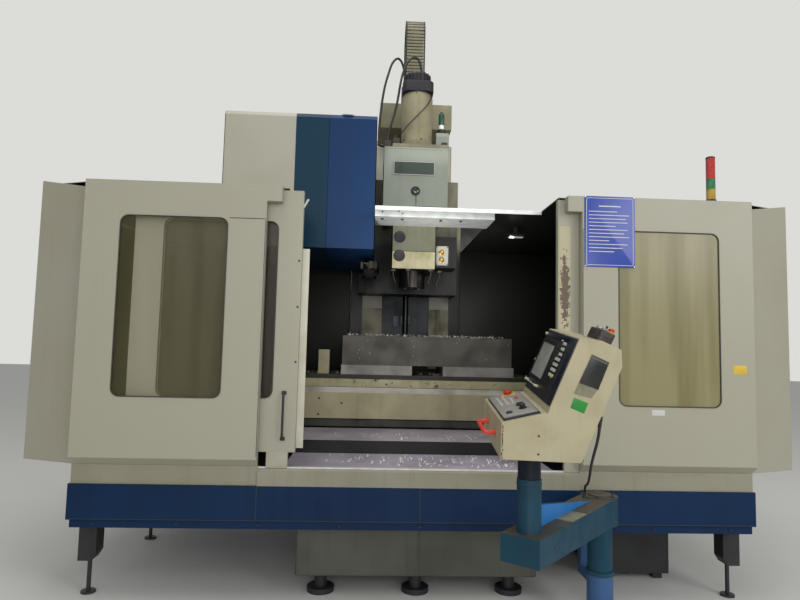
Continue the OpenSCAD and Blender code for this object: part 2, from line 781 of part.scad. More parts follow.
// Saddle: low block on the bed ways, cross block above it, apron plate over the middle cover
saddle_z = table_z - table_t;
apron_front = -19;
apron_top = middle_z + cover_peak + 55;
module saddle() {
    nut_y = 520;
    color("dimgray") difference() {
        union() {
            span([-bed_half + 50, 312, way_top + slit], [bed_half - 50, table_front + table_w - 16, apron_top]);
            span([-bed_half, 60, apron_top - e], [bed_half, table_front + table_w - 16, saddle_z - 31]);
            for (y = [150, 620]) span([-820, y, saddle_z - 32], [820, y + 110, saddle_z - slit]);
            span([-60, nut_y, deck_z - 90], [60, nut_y + 120, way_top + 1]);
            span([-cover_half - 12, apron_front, apron_top - 4], [cover_half + 12, 313, apron_top]);
            span([-cover_half - 12, apron_front, middle_z + cover_peak + 4], [cover_half + 12, apron_front + 4, apron_top]);
            both() span([cover_half + 9, apron_front, deck_z + 30], [cover_half + 12, 313, apron_top]);
        }
        translate([0, nut_y - 1, deck_z - 40]) rotate([-90, 0, 0]) cylinder(h = 122, d = screw_d + 8);
        both() span([cover_half + 2, 312.5, deck_z + 20], [cover_half + 20, table_w, middle_z]);
    }
}

// Table with T-slots along it
module table() {
    mid = table_front + table_w / 2;
    color("silver") difference() {
        span([-table_half, table_front, saddle_z], [table_half, table_front + table_w, table_z]);
        for (i = [-2 : 2]) {
            y = mid + i * slot_pitch;
            span([-table_half - 1, y - slot_w / 2, table_z - 45], [table_half + 1, y + slot_w / 2, table_z + 1]);
            span([-table_half - 1, y - slot_w, table_z - 45], [table_half + 1, y + slot_w, table_z - 25]);
        }
    }
}

// Cream guard along the front of the table, and the cream box that stands on the table
module table_guard() {
    lip = table_z - 95;
    color(cream) {
        run_x(-table_half - 50, table_half + 50) polygon([
            [apron_front, apron_top + 6], [apron_front, lip - 39], [table_front, lip], [table_front, lip - 5],
            [apron_front + 4, lip - 42], [apron_front + 4, apron_top + 6]]);
        span([-705, 80, table_z], [-622, 160, table_z + 185]);
    }
}

// Steel block on feet, with clamping studs, resting on the table
block_x = [-521, 790];
block_front = table_front + 8;
block_d = 480;
module steel_block() {
    base = table_z + block_foot;
    color("gray") {
        span([block_x[0], block_front, base], [block_x[1], block_front + block_d, block_z]);
        span([block_x[0] - 6, block_front - 4, table_z], [block_x[0] + 539, block_front + block_d, base + e]);
        span([block_x[0] + 776, block_front - 4, table_z], [block_x[1] + 16, block_front + block_d, base + e]);
        for (s = [[-470, 100, 34], [-175, 120, 30], [-40, 100, 26], [660, 110, 28]])
            rod(s[0], block_front + s[1], block_z - e, block_z + s[2], 18);
    }
}

// Head casting: slide on the column, body, spindle housing, flange and side box
slide_back = way_front - slit;
hood_front = -200;
slide_front = way_front - 280;
body_high = 2900;
module head_casting() {
    color(cream) difference() {
        union() {
            span([-slide_half, slide_front, slide_low], [slide_half, slide_back, body_high]);
            span([-230, -100, lip_z], [230, slide_front + e, body_high]);
            span([-housing_half, -180, housing_low], [housing_half, 250, lip_z + e]);
            span([-150, 249, housing_low + 120], [150, slide_front + e, lip_z + e]);
            span([-hood_half - 4, hood_front - 5, lip_z], [hood_half - 6, 345, lip_z + lip_t]);
            span([housing_half - e, -90, housing_low + 24], [330, 150, housing_low + 264]);
            span([-180, hood_front + 10, lip_z + lip_t + hood_h], [hood_half, 250, lip_z + lip_t + hood_h + 30]);
            span([-180, -90, body_high - e], [200, 240, lip_z + lip_t + hood_h + 1]);
        }
        rod(0, screw_y, slide_low - 1, body_high + 1, screw_d + 10);
        rod(0, 0, housing_low - 1, housing_low + 301, nose_d + 0.1);
    }
}

// Sheet hood over the front of the head
module head_hood() {
    z0 = lip_z + lip_t;
    color(cream) difference() {
        span([-hood_half, hood_front, z0], [hood_half, 345, z0 + hood_h]);
        span([-hood_half + 3, hood_front + 3, z0 - 1], [hood_half - 3, 346, z0 + hood_h - 3]);
        span([-201, -91, z0 + hood_h - 4], [201, 346, z0 + hood_h + 1]);
    }
}

// Fittings on the head: name plate, sight glass, switch plate, two connector boxes with an elbow
// for the outer hose, and the air filter on its box
head_top = lip_z + lip_t + hood_h + 30;
elbow = [-284, -20, head_top + 70];
plate_x = [-170, 143];
plate_z = [head_top - 246, head_top - 139];
glass_z = lip_z + 154;
switch_x = [housing_half + 12, housing_half + 107];
switch_z = [housing_low + 42, housing_low + 190];
box_1 = [-240, -185];
box_2 = [-175, -120];
filter_x = [160, 262];
hose_d = 18;
module head_fittings() {
    color(dark) {
        span([plate_x[0], hood_front - 3, plate_z[0]], [plate_x[1], hood_front, plate_z[1]]);
        translate([0, hood_front, glass_z]) rotate([90, 0, 0]) cylinder(h = 14, d = 62);
        span([switch_x[0], -100, switch_z[0]], [switch_x[1], -90, switch_z[1]]);
        for (z = [switch_z[0] + 42, switch_z[1] - 48]) translate([switch_x[0] + 43, -100, z])
            rotate([90, 0, 0]) cylinder(h = 16, d = 30);
        span([box_1[0], -60, head_top - 30], [box_1[1], 20, head_top + 89]);
        span([box_2[0], -60, head_top], [box_2[1], 20, head_top + 111]);
        translate([elbow[0], elbow[1], head_top + 35]) rotate([0, 90, 0]) cylinder(h = 50, d = hose_d + 4);
        rod(elbow[0], elbow[1], head_top + 24, elbow[2], hose_d + 4);
        span([filter_x[0], -60, head_top], [filter_x[1], 40, head_top + 145]);
        rod(filter_x[0] + 46, -10, head_top + 145 - e, head_top + 325, 46);
    }
}

// Cord laid through hand-chosen points: an even tube with a ring at each point
cord_sides = 10;
function unit(v) = v / norm(v);
function along(p, i) = unit(p[min(i + 1, len(p) - 1)] - p[max(i - 1, 0)]);
module cord(p, d) {
    n = cord_sides;
    last = len(p) - 1;
    polyhedron([for (i = [0 : last])
            let (t = along(p, i), u = unit(cross(t, [1, 0, 0.2])), v = cross(t, u))
            for (k = [0 : n - 1]) p[i] + d / 2 * (cos(360 * k / n) * u + sin(360 * k / n) * v)],
        concat([[for (k = [0 : n - 1]) k]],
            [for (i = [0 : last - 1], k = [0 : n - 1])
                [i * n + k, i * n + n + k, i * n + n + (k + 1) % n, i * n + (k + 1) % n]],
            [[for (k = [n - 1 : -1 : 0]) last * n + k]]));
}

// Hoses and cable on the head: two hoses from the connector boxes over to the motor's terminal box,
// and a thin cable across the motor
outer_route = [[-284, -20, 3040], [-285, -20, 3095], [-284, -20, 3150], [-281, -20, 3205], [-277, -20, 3260],
    [-272, -19, 3315], [-266, -17, 3370], [-259, -14, 3425], [-250, -9, 3482], [-238, 0, 3542],
    [-222, 10, 3605], [-200, 25, 3685], [-173, 42, 3737], [-145, 62, 3760], [-118, 84, 3745],
    [-98, 105, 3700], [-88, 120, 3640], [-85, 128, 3595], [-85, 130, 3555]];
inner_route = [[-216, -20, 3059], [-208, -20, 3110], [-196, -20, 3160], [-182, -20, 3210], [-169, -20, 3262],
    [-157, -18, 3315], [-147, -15, 3370], [-138, -10, 3430], [-130, -5, 3490], [-121, 5, 3550],
    [-109, 15, 3610], [-90, 28, 3672], [-63, 43, 3732], [-27, 62, 3774], [12, 82, 3776],
    [38, 102, 3735], [52, 118, 3670], [58, 127, 3612], [60, 130, 3555]];
wire_route = [[-125, -45, 3075], [-113, -72, 3090], [-96, -92, 3110], [-72, -112, 3136], [-44, -124, 3165],
    [-12, -130, 3199], [20, -130, 3234], [50, -125, 3269], [78, -113, 3305], [98, -98, 3340],
    [112, -82, 3375], [120, -68, 3403], [122, -60, 3430]];
wire_d = 8;
module head_hoses() {
    color("black") {
        cord(outer_route, hose_d);
        cord(inner_route, hose_d);
        cord(wire_route, wire_d);
    }
}

// Spindle motor: foot, round body, square flange, fan cap and terminal box behind
motor_x = 12;
motor_z = 3040;
module motor_box(side, z0, z1) {
    span([motor_x - side / 2, -side / 2, z0], [motor_x + side / 2, side / 2, z1]);
}
module spindle_motor() {
    flange_z = motor_z + motor_h;
    color("dimgray") {
        rod(motor_x, 0, head_top, motor_z + 1, motor_d + 10);
        rod(motor_x, 0, motor_z, flange_z + 1, motor_d);
        motor_box(motor_d, flange_z, flange_z + 83);
        rod(motor_x, 0, flange_z + 82, flange_z + 167, 193);
        span([-98, 90, flange_z + 15], [76, 178, flange_z + 137]);
    }
}

// Spindle with its taper socket and drive keys
bore_d = 70;
module spindle() {
    color(steel) translate([0, 0, nose_z]) difference() {
        union() {
            cylinder(h = housing_low - nose_z + 300, d = nose_d);
            for (s = [-1, 1]) span([s * 52 - 12, -13, -9], [s * 52 + 12, 13, 1]);
        }
        translate([0, 0, -1]) cylinder(h = 103, d1 = bore_d + 0.6, d2 = 40);
        cylinder(h = housing_low - nose_z + 302, d = 26);
    }
}

// Energy chain: two legs and a bend over the head, from the head to the column bracket
chain_t = 70;
chain_front = 184;
module energy_chain() {
    mid = chain_front + chain_r;
    color(cream) union() {
        translate([-chain_w / 2, mid, chain_z]) rotate([0, 90, 0]) rotate([0, 0, 90])
            difference() {
                cylinder(h = chain_w, r = chain_r);
                translate([0, 0, -1]) cylinder(h = chain_w + 2, r = chain_r - chain_t);
                translate([-chain_r - 1, -chain_r - 1, -1]) cube([2 * chain_r + 2, chain_r + 1, chain_w + 2]);
            }
        span([-chain_w / 2, chain_front, head_top], [chain_w / 2, chain_front + chain_t, chain_z + 1]);
        span([-chain_w / 2, mid + chain_r - chain_t, column_high + bracket_h],
            [chain_w / 2, mid + chain_r, chain_z + 1]);
    }
}

// Pedestal of the control desk: foot plate, tube, pivot pin and tie to the base
pivot_y = front_y - pivot_out;
pin_d = 80;
pedestal_z = 285;
module pedestal() {
    color([0.25, 0.41, 0.61]) {
        span([pivot_x - 150, pivot_y - 150, 0], [pivot_x + 150, pivot_y + 150, 15]);
        rod(pivot_x, pivot_y, 15 - e, pedestal_z - 23, 136);
        rod(pivot_x, pivot_y, pedestal_z - 24, pedestal_z, 122);
        rod(pivot_x, pivot_y, pedestal_z - e, arm_z - 60, pin_d);
        span([pivot_x - 30, pivot_y + 60, 180], [pivot_x + 30, skirt_y + 70, 240]);
        span([pivot_x - 30, skirt_y + 16, 239], [pivot_x + 30, skirt_y + 70, band_low]);
    }
}

// Swing arm: box beam from the pivot to the post, stiffening plate, post and cable gland
post_y = front_y - post_out;
arm_turn = atan2(pivot_y - post_y, pivot_x - post_x);
arm_len = sqrt(pow(pivot_x - post_x, 2) + pow(pivot_y - post_y, 2));
collar_z = 893;
cable_end = [857, -1395, 680];
module swing_arm() {
    low = arm_z - arm_h;
    color([0.17, 0.37, 0.47]) difference() {
        union() {
            translate([post_x, post_y, 0]) rotate([0, 0, arm_turn]) run_y(-arm_w / 2, arm_w / 2)
                polygon([[-85, low], [arm_len, low - arm_flare], [arm_len, arm_z], [-85, arm_z]]);
            rod(pivot_x, pivot_y, low - arm_flare - 5, arm_z + 4, arm_w + 10);
            rod(pivot_x, pivot_y, pedestal_z + slit, low - arm_flare + 1, 128);
            rod(post_x, post_y, arm_z - 1, collar_z, post_d);
            translate([post_x, post_y, 0]) rotate([0, 0, arm_turn]) run_y(-5, 5)
                polygon([[post_d / 2 - 6, arm_z - 1], [arm_len - 140, arm_z - 1], [post_d / 2 - 6, arm_z + 108]]);
            rod(cable_end[0], cable_end[1], arm_z - 1, cable_end[2] - slit, 20);
        }
        rod(pivot_x, pivot_y, pedestal_z - 1, arm_z - 59, pin_d + 0.1);
    }
}

// Control desk, drawn in its own frame: x towards its back, y across, z up
desk_at = [220, -front_reach - 1040, 1012];
desk_turn = -2.48;
outline = [[0, 0], [0, 144], [163, 183], [180, 184], [186, 206], [294, 482], [386, 473], [458, 441],
    [464, 375], [318, -8]];
key_from = [0, 144];
key_to = [163, 183];
face_from = [186, 206];
face_to = [294, 482];
module desk_frame() { translate(desk_at) rotate([0, 0, desk_turn]) rotate([desk_lean, 0, 0]) children(); }
// Frame on a slanted face: x along the slope, y across, z out of the face
module on_face(from, to) {
    translate([from[0], 0, from[1]]) rotate([0, -atan2(to[1] - from[1], to[0] - from[0]), 0]) children();
}
function turn_left(v) = [-v[1], v[0]];
// Point of an outline moved inwards by d along both of its edges
function inner_point(p, i, d) = let (
    n = len(p), a = p[(i + n - 1) % n], b = p[i], c = p[(i + 1) % n],
    u = unit(b - a), v = unit(c - b), m = -turn_left(u), k = -turn_left(v))
    b + (m + k) * d / (1 + m * k);
key_len = norm(key_to - key_from);
face_len = norm(face_to - face_from);
rim = 14;
swivel_d = 98;
module desk_housing() {
    inner = [for (i = [0 : len(outline) - 1]) inner_point(outline, i, desk_sheet)];
    color(cream) difference() {
        union() {
            desk_frame() difference() {
                union() {
                    difference() {
                        run_y(0, desk_w) polygon(outline);
                        run_y(desk_sheet, desk_w - desk_sheet) polygon(inner);
                    }
                    translate([160, desk_w / 2, -46]) cylinder(h = 50, d = swivel_d + 40);
                }
                on_face(key_from, key_to)
                    span([rim, rim + 8, -desk_sheet - 1], [key_len - 4, desk_w - rim - 8, 1]);
                on_face(face_from, face_to)
                    span([rim, rim + 8, -desk_sheet - 1], [face_len - rim, desk_w - rim - 8, 1]);
            }
            span([605, -2236, 1184], [638, -2202, 1216]);
        }
        rod(post_x, post_y, desk_at[2] - 80, desk_at[2] + 90, swivel_d + 0.1);
    }
}

// Swivel between the post and the desk, which turns with the desk
module desk_swivel() {
    color(dark) rod(post_x, post_y, collar_z + slit, desk_at[2] + 60, swivel_d);
}

// Cable from the back of the desk down to the gland on the swing arm
cable_route = [[624, -2219, 1190], [624, -2219, 1170], [625, -2212, 1140], [627, -2196, 1105],
    [632, -2166, 1070], [640, -2124, 1035], [651, -2074, 1000], [665, -2020, 966], [682, -1962, 934],
    [702, -1900, 905], [726, -1830, 875], [752, -1750, 844], [780, -1666, 814], [807, -1584, 786],
    [826, -1516, 762], [838, -1466, 748], [848, -1430, 736], [855, -1406, 717], [857, -1395, 698], cable_end];
module desk_cable() { color("black") cord(cable_route, 12); }

button_at = [105, 425];
stem_d = 22;
// Plates behind the desk's cut-outs with the screen, the key blocks and the two small handles
module desk_panels() {
    color(dark) desk_frame() {
        on_face(key_from, key_to) {
            difference() {
                span([rim - 5, rim, -desk_sheet - 3], [key_len - 1, desk_w - rim, -desk_sheet]);
                translate([button_at[0], button_at[1], -desk_sheet - 4]) cylinder(h = 5, d = stem_d + 0.2);
            }
            for (s = [30 : 26 : 90], w = [250 : 34 : 390])
                span([s, w, -desk_sheet - e], [s + 16, w + 22, 0]);
        }
        on_face(face_from, face_to) {
            span([rim - 6, rim, -desk_sheet - 3], [face_len - rim + 6, desk_w - rim, -desk_sheet]);
            span([70, 225, -desk_sheet - e], [250, 440, -desk_sheet + 2]);
            for (s = [100 : 24 : 250]) span([s, 60, -desk_sheet - e], [s + 16, 190, 0]);
        }
        span([-34, 134, 62], [-22, 334, 76]);
        for (y = [134, 322]) span([-30, y, 62], [0, y + 12, 76]);
    }
}

// Emergency push button: its stem runs through the key plate
module emergency_button() {
    color("red") desk_frame() on_face(key_from, key_to) translate([button_at[0], button_at[1], 0]) {
        translate([0, 0, -desk_sheet - 12]) cylinder(h = desk_sheet + 26, d = stem_d);
        translate([0, 0, 14 - e]) cylinder(h = 14, d = 40);
    }
}

// Rotary feed knob
knob_at = [112, 180];
module feed_knob() {
    color("black") desk_frame() on_face(key_from, key_to) translate([knob_at[0], knob_at[1], -desk_sheet + slit]) {
        cylinder(h = 12, d = 34);
        translate([-15, -4, 12 - e]) cube([30, 8, 12]);
    }
}

// Hand-held pulse generator on the desk's top, and its dial
top_from = outline[6];
top_to = outline[7];
module on_top() { desk_frame() translate([0, 60, 0]) on_face(top_from, top_to) children(); }
module handwheel_unit() { color("black") on_top() translate([-6, 0, 0]) cube([64, 140, 46]); }
module handwheel_dial() { color("silver") on_top() translate([26, 90, 46 + slit]) cylinder(h = 12, d = 50); }

bed();
levelling_feet();
base_skirt();
front_aprons();
front_panels();
front_windows();
left_side_wall();
right_side_wall();
rear_wall();
roof();
roof_beam();
door_rails();
column();
column_way_covers();
column_panel();
drive_motors();
ball_screws();
drum_housing();
changer_cover();
changer_frame();
electrical_cabinet();
coolant_tank();
coolant_pump();
stack_light_base();
stack_lenses();
sign_board();
work_light();
pedestal();
front_way_cover();
cabinet_door();
left_door();
left_door_pane();
left_door_handle();
right_door();
right_door_pane();
right_door_handle();
middle_way_cover();
saddle();
table();
table_guard();
steel_block();
head_casting();
head_hood();
head_fittings();
head_hoses();
spindle_motor();
spindle();
tool_drum();
change_arm();
energy_chain();
swing_arm();
desk_swivel();
desk_housing();
desk_panels();
desk_cable();
emergency_button();
feed_knob();
handwheel_unit();
handwheel_dial();
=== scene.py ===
# Large vertical machining centre, dressed for the render.
# Metres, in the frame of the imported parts: X to the right, Y back from the operator, Z up.
import json
import math

import bmesh
import bpy
import numpy as np
from mathutils import Matrix, Vector


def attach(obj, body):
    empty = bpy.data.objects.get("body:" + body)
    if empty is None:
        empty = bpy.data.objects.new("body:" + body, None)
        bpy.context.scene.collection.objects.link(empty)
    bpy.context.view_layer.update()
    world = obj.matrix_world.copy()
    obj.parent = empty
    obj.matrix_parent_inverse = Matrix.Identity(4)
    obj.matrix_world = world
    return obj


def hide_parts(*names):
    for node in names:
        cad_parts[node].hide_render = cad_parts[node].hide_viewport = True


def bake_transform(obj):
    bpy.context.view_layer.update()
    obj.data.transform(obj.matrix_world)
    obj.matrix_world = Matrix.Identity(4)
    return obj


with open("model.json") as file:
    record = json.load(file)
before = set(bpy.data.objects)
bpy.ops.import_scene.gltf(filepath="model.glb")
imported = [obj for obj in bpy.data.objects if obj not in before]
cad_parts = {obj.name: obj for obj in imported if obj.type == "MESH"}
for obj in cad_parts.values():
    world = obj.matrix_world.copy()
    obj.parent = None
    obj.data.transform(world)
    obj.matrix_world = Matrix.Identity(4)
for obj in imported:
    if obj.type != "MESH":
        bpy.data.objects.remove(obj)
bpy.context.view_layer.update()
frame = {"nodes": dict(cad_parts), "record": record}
nodes = frame["nodes"]
bodyOf = {node: body for body, members in frame["record"]["behaviour"]["bodies"].items() for node in members}
print("stage: frame loaded,", len(nodes), "nodes")


# Camera, at the place and angle of the photograph
cameraSet = {
    "place": (-0.294, -4.607, 1.440),
    "yaw": 2.56,
    "pitch": 4.51,
    "roll": 1.37,
    "lens": 27.0,
    "sensor": 36.0,
}


def makeCamera(values):
    # looks ahead by yaw about Z and pitch from level, then rolls about the line of sight
    yaw, pitch, roll = (math.radians(values[key]) for key in ("yaw", "pitch", "roll"))
    ahead = Vector((math.sin(yaw) * math.cos(pitch), math.cos(yaw) * math.cos(pitch), math.sin(pitch)))
    level = Vector((math.cos(yaw), -math.sin(yaw), 0))
    raised = level.cross(ahead)
    right = math.cos(roll) * level + math.sin(roll) * raised
    up = -math.sin(roll) * level + math.cos(roll) * raised
    data = bpy.data.cameras.new("camera")
    data.lens = values["lens"]
    data.sensor_width = values["sensor"]
    camera = bpy.data.objects.new("camera", data)
    bpy.context.scene.collection.objects.link(camera)
    turn = Matrix((right, up, -ahead)).transposed()
    camera.matrix_world = Matrix.Translation(values["place"]) @ turn.to_4x4()
    bpy.context.scene.camera = camera


makeCamera(cameraSet)
print("stage: camera")


# Shapes: each is (points as an N by 3 array, list of faces)
# axes of a shape drawn lying on its back and stood up to face the operator, the rear or the ground
frontX = (1.0, 0.0, 0.0)
frontZ = (0.0, 0.0, 1.0)
rearX = (-1.0, 0.0, 0.0)
downY = (0.0, -1.0, 0.0)
# the two sides of the machine: the sign of X, and the ending of a piece's name
sideNames = ((-1, "Left"), (1, "Right"))


def ringFaces(rings, sides, closed=False):
    # quads between rings of the same number of points, as one array of indices
    ring = np.arange(rings if closed else rings - 1)[:, None]
    side = np.arange(sides)[None, :]
    nextRing = (ring + 1) % rings
    nextSide = (side + 1) % sides
    quads = np.stack([ring * sides + side, ring * sides + nextSide,
                      nextRing * sides + nextSide, nextRing * sides + side], axis=-1)
    return quads.reshape(-1, 4).tolist()


def stacked(rings, capped=True):
    # rings (R, K, 3) joined side by side, with the first and last closed by one face each
    count, sides = rings.shape[:2]
    faces = ringFaces(count, sides)
    if capped:
        faces.append(list(range(sides))[::-1])
        faces.append(list(range((count - 1) * sides, count * sides)))
    return rings.reshape(-1, 3), faces


def roundOutline(w, h, r, steps=5):
    # rectangle w by h about the origin with corner arcs of radius r, anticlockwise
    r = min(r, w / 2 - 1e-5, h / 2 - 1e-5)
    arc = np.linspace(0, np.pi / 2, steps)
    corners = [(w / 2 - r, h / 2 - r, 0), (r - w / 2, h / 2 - r, 1), (r - w / 2, r - h / 2, 2),
               (w / 2 - r, r - h / 2, 3)]
    parts = [np.stack([x + r * np.cos(arc + k * np.pi / 2), y + r * np.sin(arc + k * np.pi / 2)], axis=1)
             for x, y, k in corners]
    return np.concatenate(parts)


def plate(outline, t, edge=0.0):
    # outline (K, 2) raised from z = 0 to t, with its upper edge rounded by drawing the last rings inwards
    centre = outline.mean(0)
    reach = np.abs(outline - centre).max()
    turns = np.linspace(0, np.pi / 2, 4) if edge > 0 else np.array([0.0])
    insets = np.concatenate([[0.0], edge * (1 - np.cos(turns))])
    heights = np.concatenate([[0.0], t - edge + edge * np.sin(turns)])
    flat = centre + (outline - centre)[None] * (1 - insets / reach)[:, None, None]
    rings = np.concatenate([flat, np.broadcast_to(heights[:, None, None], flat.shape[:2] + (1,))], axis=2)
    return stacked(rings)


def slab(w, h, t, r=0.002, edge=0.001):
    # round-cornered plate lying on z = 0
    return plate(roundOutline(w, h, r), t, edge)


def turned(profile, steps=32):
    # profile of (radius, height) turned about Z
    profile = np.array(profile, float)
    angle = np.linspace(0, 2 * np.pi, steps, endpoint=False)
    x = profile[:, :1] * np.cos(angle)
    y = profile[:, :1] * np.sin(angle)
    z = np.broadcast_to(profile[:, 1:], x.shape)
    return stacked(np.stack([x, y, z], axis=2))


def carried(outline, path, side=(1.0, 0.0, 0.2), capped=True, loop=False):
    # outline (K, 2) carried along path (P, 3): its x axis lies across the path, its y axis along neither
    path = np.array(path, float)
    if loop:
        along = np.roll(path, -1, 0) - np.roll(path, 1, 0)
    else:
        along = np.gradient(path, axis=0)
    along /= np.linalg.norm(along, axis=1)[:, None]
    across = np.cross(along, np.array(side, float))
    across /= np.linalg.norm(across, axis=1)[:, None]
    other = np.cross(along, across)
    rings = path[:, None] + outline[None, :, :1] * across[:, None] + outline[None, :, 1:] * other[:, None]
    if loop:
        return rings.reshape(-1, 3), ringFaces(len(path), len(outline), closed=True)
    return stacked(rings, capped)


def circle(radius, sides=12):
    # points evenly round a circle: radius times cosine and sine
    angle = np.linspace(0, 2 * np.pi, sides, endpoint=False)
    return np.stack([radius * np.cos(angle), radius * np.sin(angle)], axis=1)


def smoothed(points, parts=6):
    # even curve through given points: each span is a cubic whose slopes come from its neighbours
    points = np.array(points, float)
    padded = np.concatenate([[2 * points[0] - points[1]], points, [2 * points[-1] - points[-2]]])
    t = np.linspace(0, 1, parts, endpoint=False)[None, :, None]
    a, b, c, d = (padded[i:len(padded) - 3 + i, None] for i in range(4))
    spans = 0.5 * (2 * b + (c - a) * t + (2 * a - 5 * b + 4 * c - d) * t ** 2
                   + (3 * b - a - 3 * c + d) * t ** 3)
    return np.concatenate([spans.reshape(-1, points.shape[1]), points[-1:]])


def moved(shape, origin, x=(1, 0, 0), y=(0, 1, 0)):
    # the shape with its own axes laid along x and y, and its origin at the given place
    x = np.array(x, float) / np.linalg.norm(x)
    y = np.array(y, float) / np.linalg.norm(y)
    turn = np.stack([x, y, np.cross(x, y)])
    return shape[0] @ turn + np.array(origin, float), shape[1]


def joined(shapes):
    # several shapes as one
    starts = np.cumsum([0] + [len(s[0]) for s in shapes[:-1]])
    faces = [[int(i + start) for i in face] for s, start in zip(shapes, starts) for face in s[1]]
    return np.concatenate([s[0] for s in shapes]), faces


def repeated(shape, places, x=(1, 0, 0), y=(0, 1, 0)):
    # the same shape at each place
    return joined([moved(shape, place, x, y) for place in places])


def finishMesh(piece, angle=32):
    # smooth shading, broken where two faces meet at more than the angle in degrees
    piece.data.shade_smooth()
    piece.data.set_sharp_from_angle(angle=math.radians(angle))


def buildPiece(name, parts, angle=32):
    # one object from (shape, material) pairs, in their order
    points, faces = joined([shape for shape, material in parts])
    mesh = bpy.data.meshes.new(name)
    mesh.from_pydata(points.tolist(), [], faces)
    index = np.concatenate([np.full(len(shape[1]), k) for k, (shape, material) in enumerate(parts)])
    for shape, material in parts:
        mesh.materials.append(material)
    mesh.polygons.foreach_set("material_index", index.astype(np.int32))
    piece = bpy.data.objects.new(name, mesh)
    bpy.context.scene.collection.objects.link(piece)
    finishMesh(piece, angle)
    return piece


def makePiece(name, parts, body, replaces=(), angle=32):
    # a piece that rides on a body and stands for the CAD nodes it names
    piece = buildPiece(name, parts, angle)
    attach(piece, body)
    if replaces:
        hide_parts(*replaces)
    return piece


# merging distance in metres; angles in degrees under which faces join and over which edges are rounded
rounding = {"merge": 2e-5, "flat": 1.5, "sharp": 38}


def softened(node, name, edge, material, segments=2):
    # copy of a CAD node with its edges rounded to a width of edge, standing for it
    shape = bmesh.new()
    shape.from_mesh(nodes[node].data)
    bmesh.ops.remove_doubles(shape, verts=shape.verts, dist=rounding["merge"])
    bmesh.ops.dissolve_limit(shape, angle_limit=math.radians(rounding["flat"]), verts=shape.verts,
                             edges=shape.edges)
    mesh = bpy.data.meshes.new(name)
    shape.to_mesh(mesh)
    shape.free()
    mesh.materials.clear()
    mesh.materials.append(material)
    piece = bpy.data.objects.new(name, mesh)
    bpy.context.scene.collection.objects.link(piece)
    finishMesh(piece)
    bevel = piece.modifiers.new("edge", "BEVEL")
    bevel.width = edge
    bevel.segments = segments
    bevel.limit_method = "ANGLE"
    bevel.angle_limit = math.radians(rounding["sharp"])
    bevel.harden_normals = True
    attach(piece, bodyOf[node])
    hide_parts(node)
    return piece


def paintFaces(piece, low, high, material):
    # faces whose middle lies in the box from low to high take another material
    mesh = piece.data
    mesh.materials.append(material)
    middles = np.empty(len(mesh.polygons) * 3)
    mesh.polygons.foreach_get("center", middles)
    middles = middles.reshape(-1, 3)
    inside = ((middles > np.array(low)) & (middles < np.array(high))).all(1)
    index = np.empty(len(mesh.polygons), np.int32)
    mesh.polygons.foreach_get("material_index", index)
    index[inside] = len(mesh.materials) - 1
    mesh.polygons.foreach_set("material_index", index)


def dress(node, material):
    # a CAD node that keeps its own mesh takes a better material
    data = nodes[node].data
    data.materials.clear()
    data.materials.append(material)


# Materials
def toLinear(hexText, alpha=1.0):
    # sRGB hex to linear light
    coded = np.array([int(hexText[i:i + 2], 16) for i in (1, 3, 5)]) / 255
    linear = np.where(coded <= 0.04045, coded / 12.92, ((coded + 0.055) / 1.055) ** 2.4)
    return tuple(float(c) for c in linear) + (alpha,)


def addNode(tree, kind, settings=None, inputs=None):
    # one shader node: settings are its own fields, inputs are values or the sockets that feed it
    node = tree.nodes.new("ShaderNode" + kind)
    for field, value in (settings or {}).items():
        setattr(node, field, value)
    for key, value in (inputs or {}).items():
        if isinstance(value, bpy.types.NodeSocket):
            tree.links.new(value, node.inputs[key])
        else:
            node.inputs[key].default_value = value
    return node


def mixed(tree, amount, first, second):
    # the first colour turns into the second as the amount goes from 0 to 1; each is hex text or a socket
    ends = [toLinear(colour) if isinstance(colour, str) else colour for colour in (first, second)]
    return addNode(tree, "Mix", {"data_type": "RGBA"}, {0: amount, 6: ends[0], 7: ends[1]}).outputs[2]


def mapped(tree, value, low=0.0, high=1.0, toLow=0.0, toHigh=1.0):
    # the way from low to high becomes the way from toLow to toHigh, and no further
    return addNode(tree, "MapRange", None, {0: value, 1: low, 2: high, 3: toLow, 4: toHigh}).outputs[0]


def maths(tree, operation, first, second, clamp=False):
    # one operation on two numbers, held between 0 and 1 if clamped
    return addNode(tree, "Math", {"operation": operation, "use_clamp": clamp},
                   {0: first, 1: second}).outputs[0]


def vectors(tree, operation, inputs, output="Vector"):
    # one operation on vectors
    return addNode(tree, "VectorMath", {"operation": operation}, inputs).outputs[output]


def noise(tree, place, scale, detail, roughness=0.5):
    # clouds about 1 / scale metres apart, with finer clouds in them
    inputs = {"Vector": place, "Scale": scale, "Detail": detail, "Roughness": roughness}
    return addNode(tree, "TexNoise", None, inputs).outputs[0]


def drawnNoise(tree, place, scales, detail):
    # noise with a scale of its own along each axis, so it is drawn out along the smallest
    drawn = addNode(tree, "Mapping", None, {"Vector": place, "Scale": scales}).outputs[0]
    return noise(tree, drawn, 1.0, detail)


def startMaterial(name):
    # an empty material with its node tree, its shader and the place on the object in metres
    material = bpy.data.materials.new(name)
    material.use_nodes = True
    tree = material.node_tree
    return material, tree, tree.nodes["Principled BSDF"], addNode(tree, "TexCoord").outputs["Object"]


def surface(tree, shader, colour, rough, height, strength, depth):
    # the shader takes its colour and roughness, and a relief of the given depth in metres
    relief = addNode(tree, "Bump", None, {"Strength": strength, "Distance": depth, "Height": height})
    for key, value in (("Base Color", colour), ("Roughness", rough), ("Normal", relief.outputs[0])):
        tree.links.new(value, shader.inputs[key])


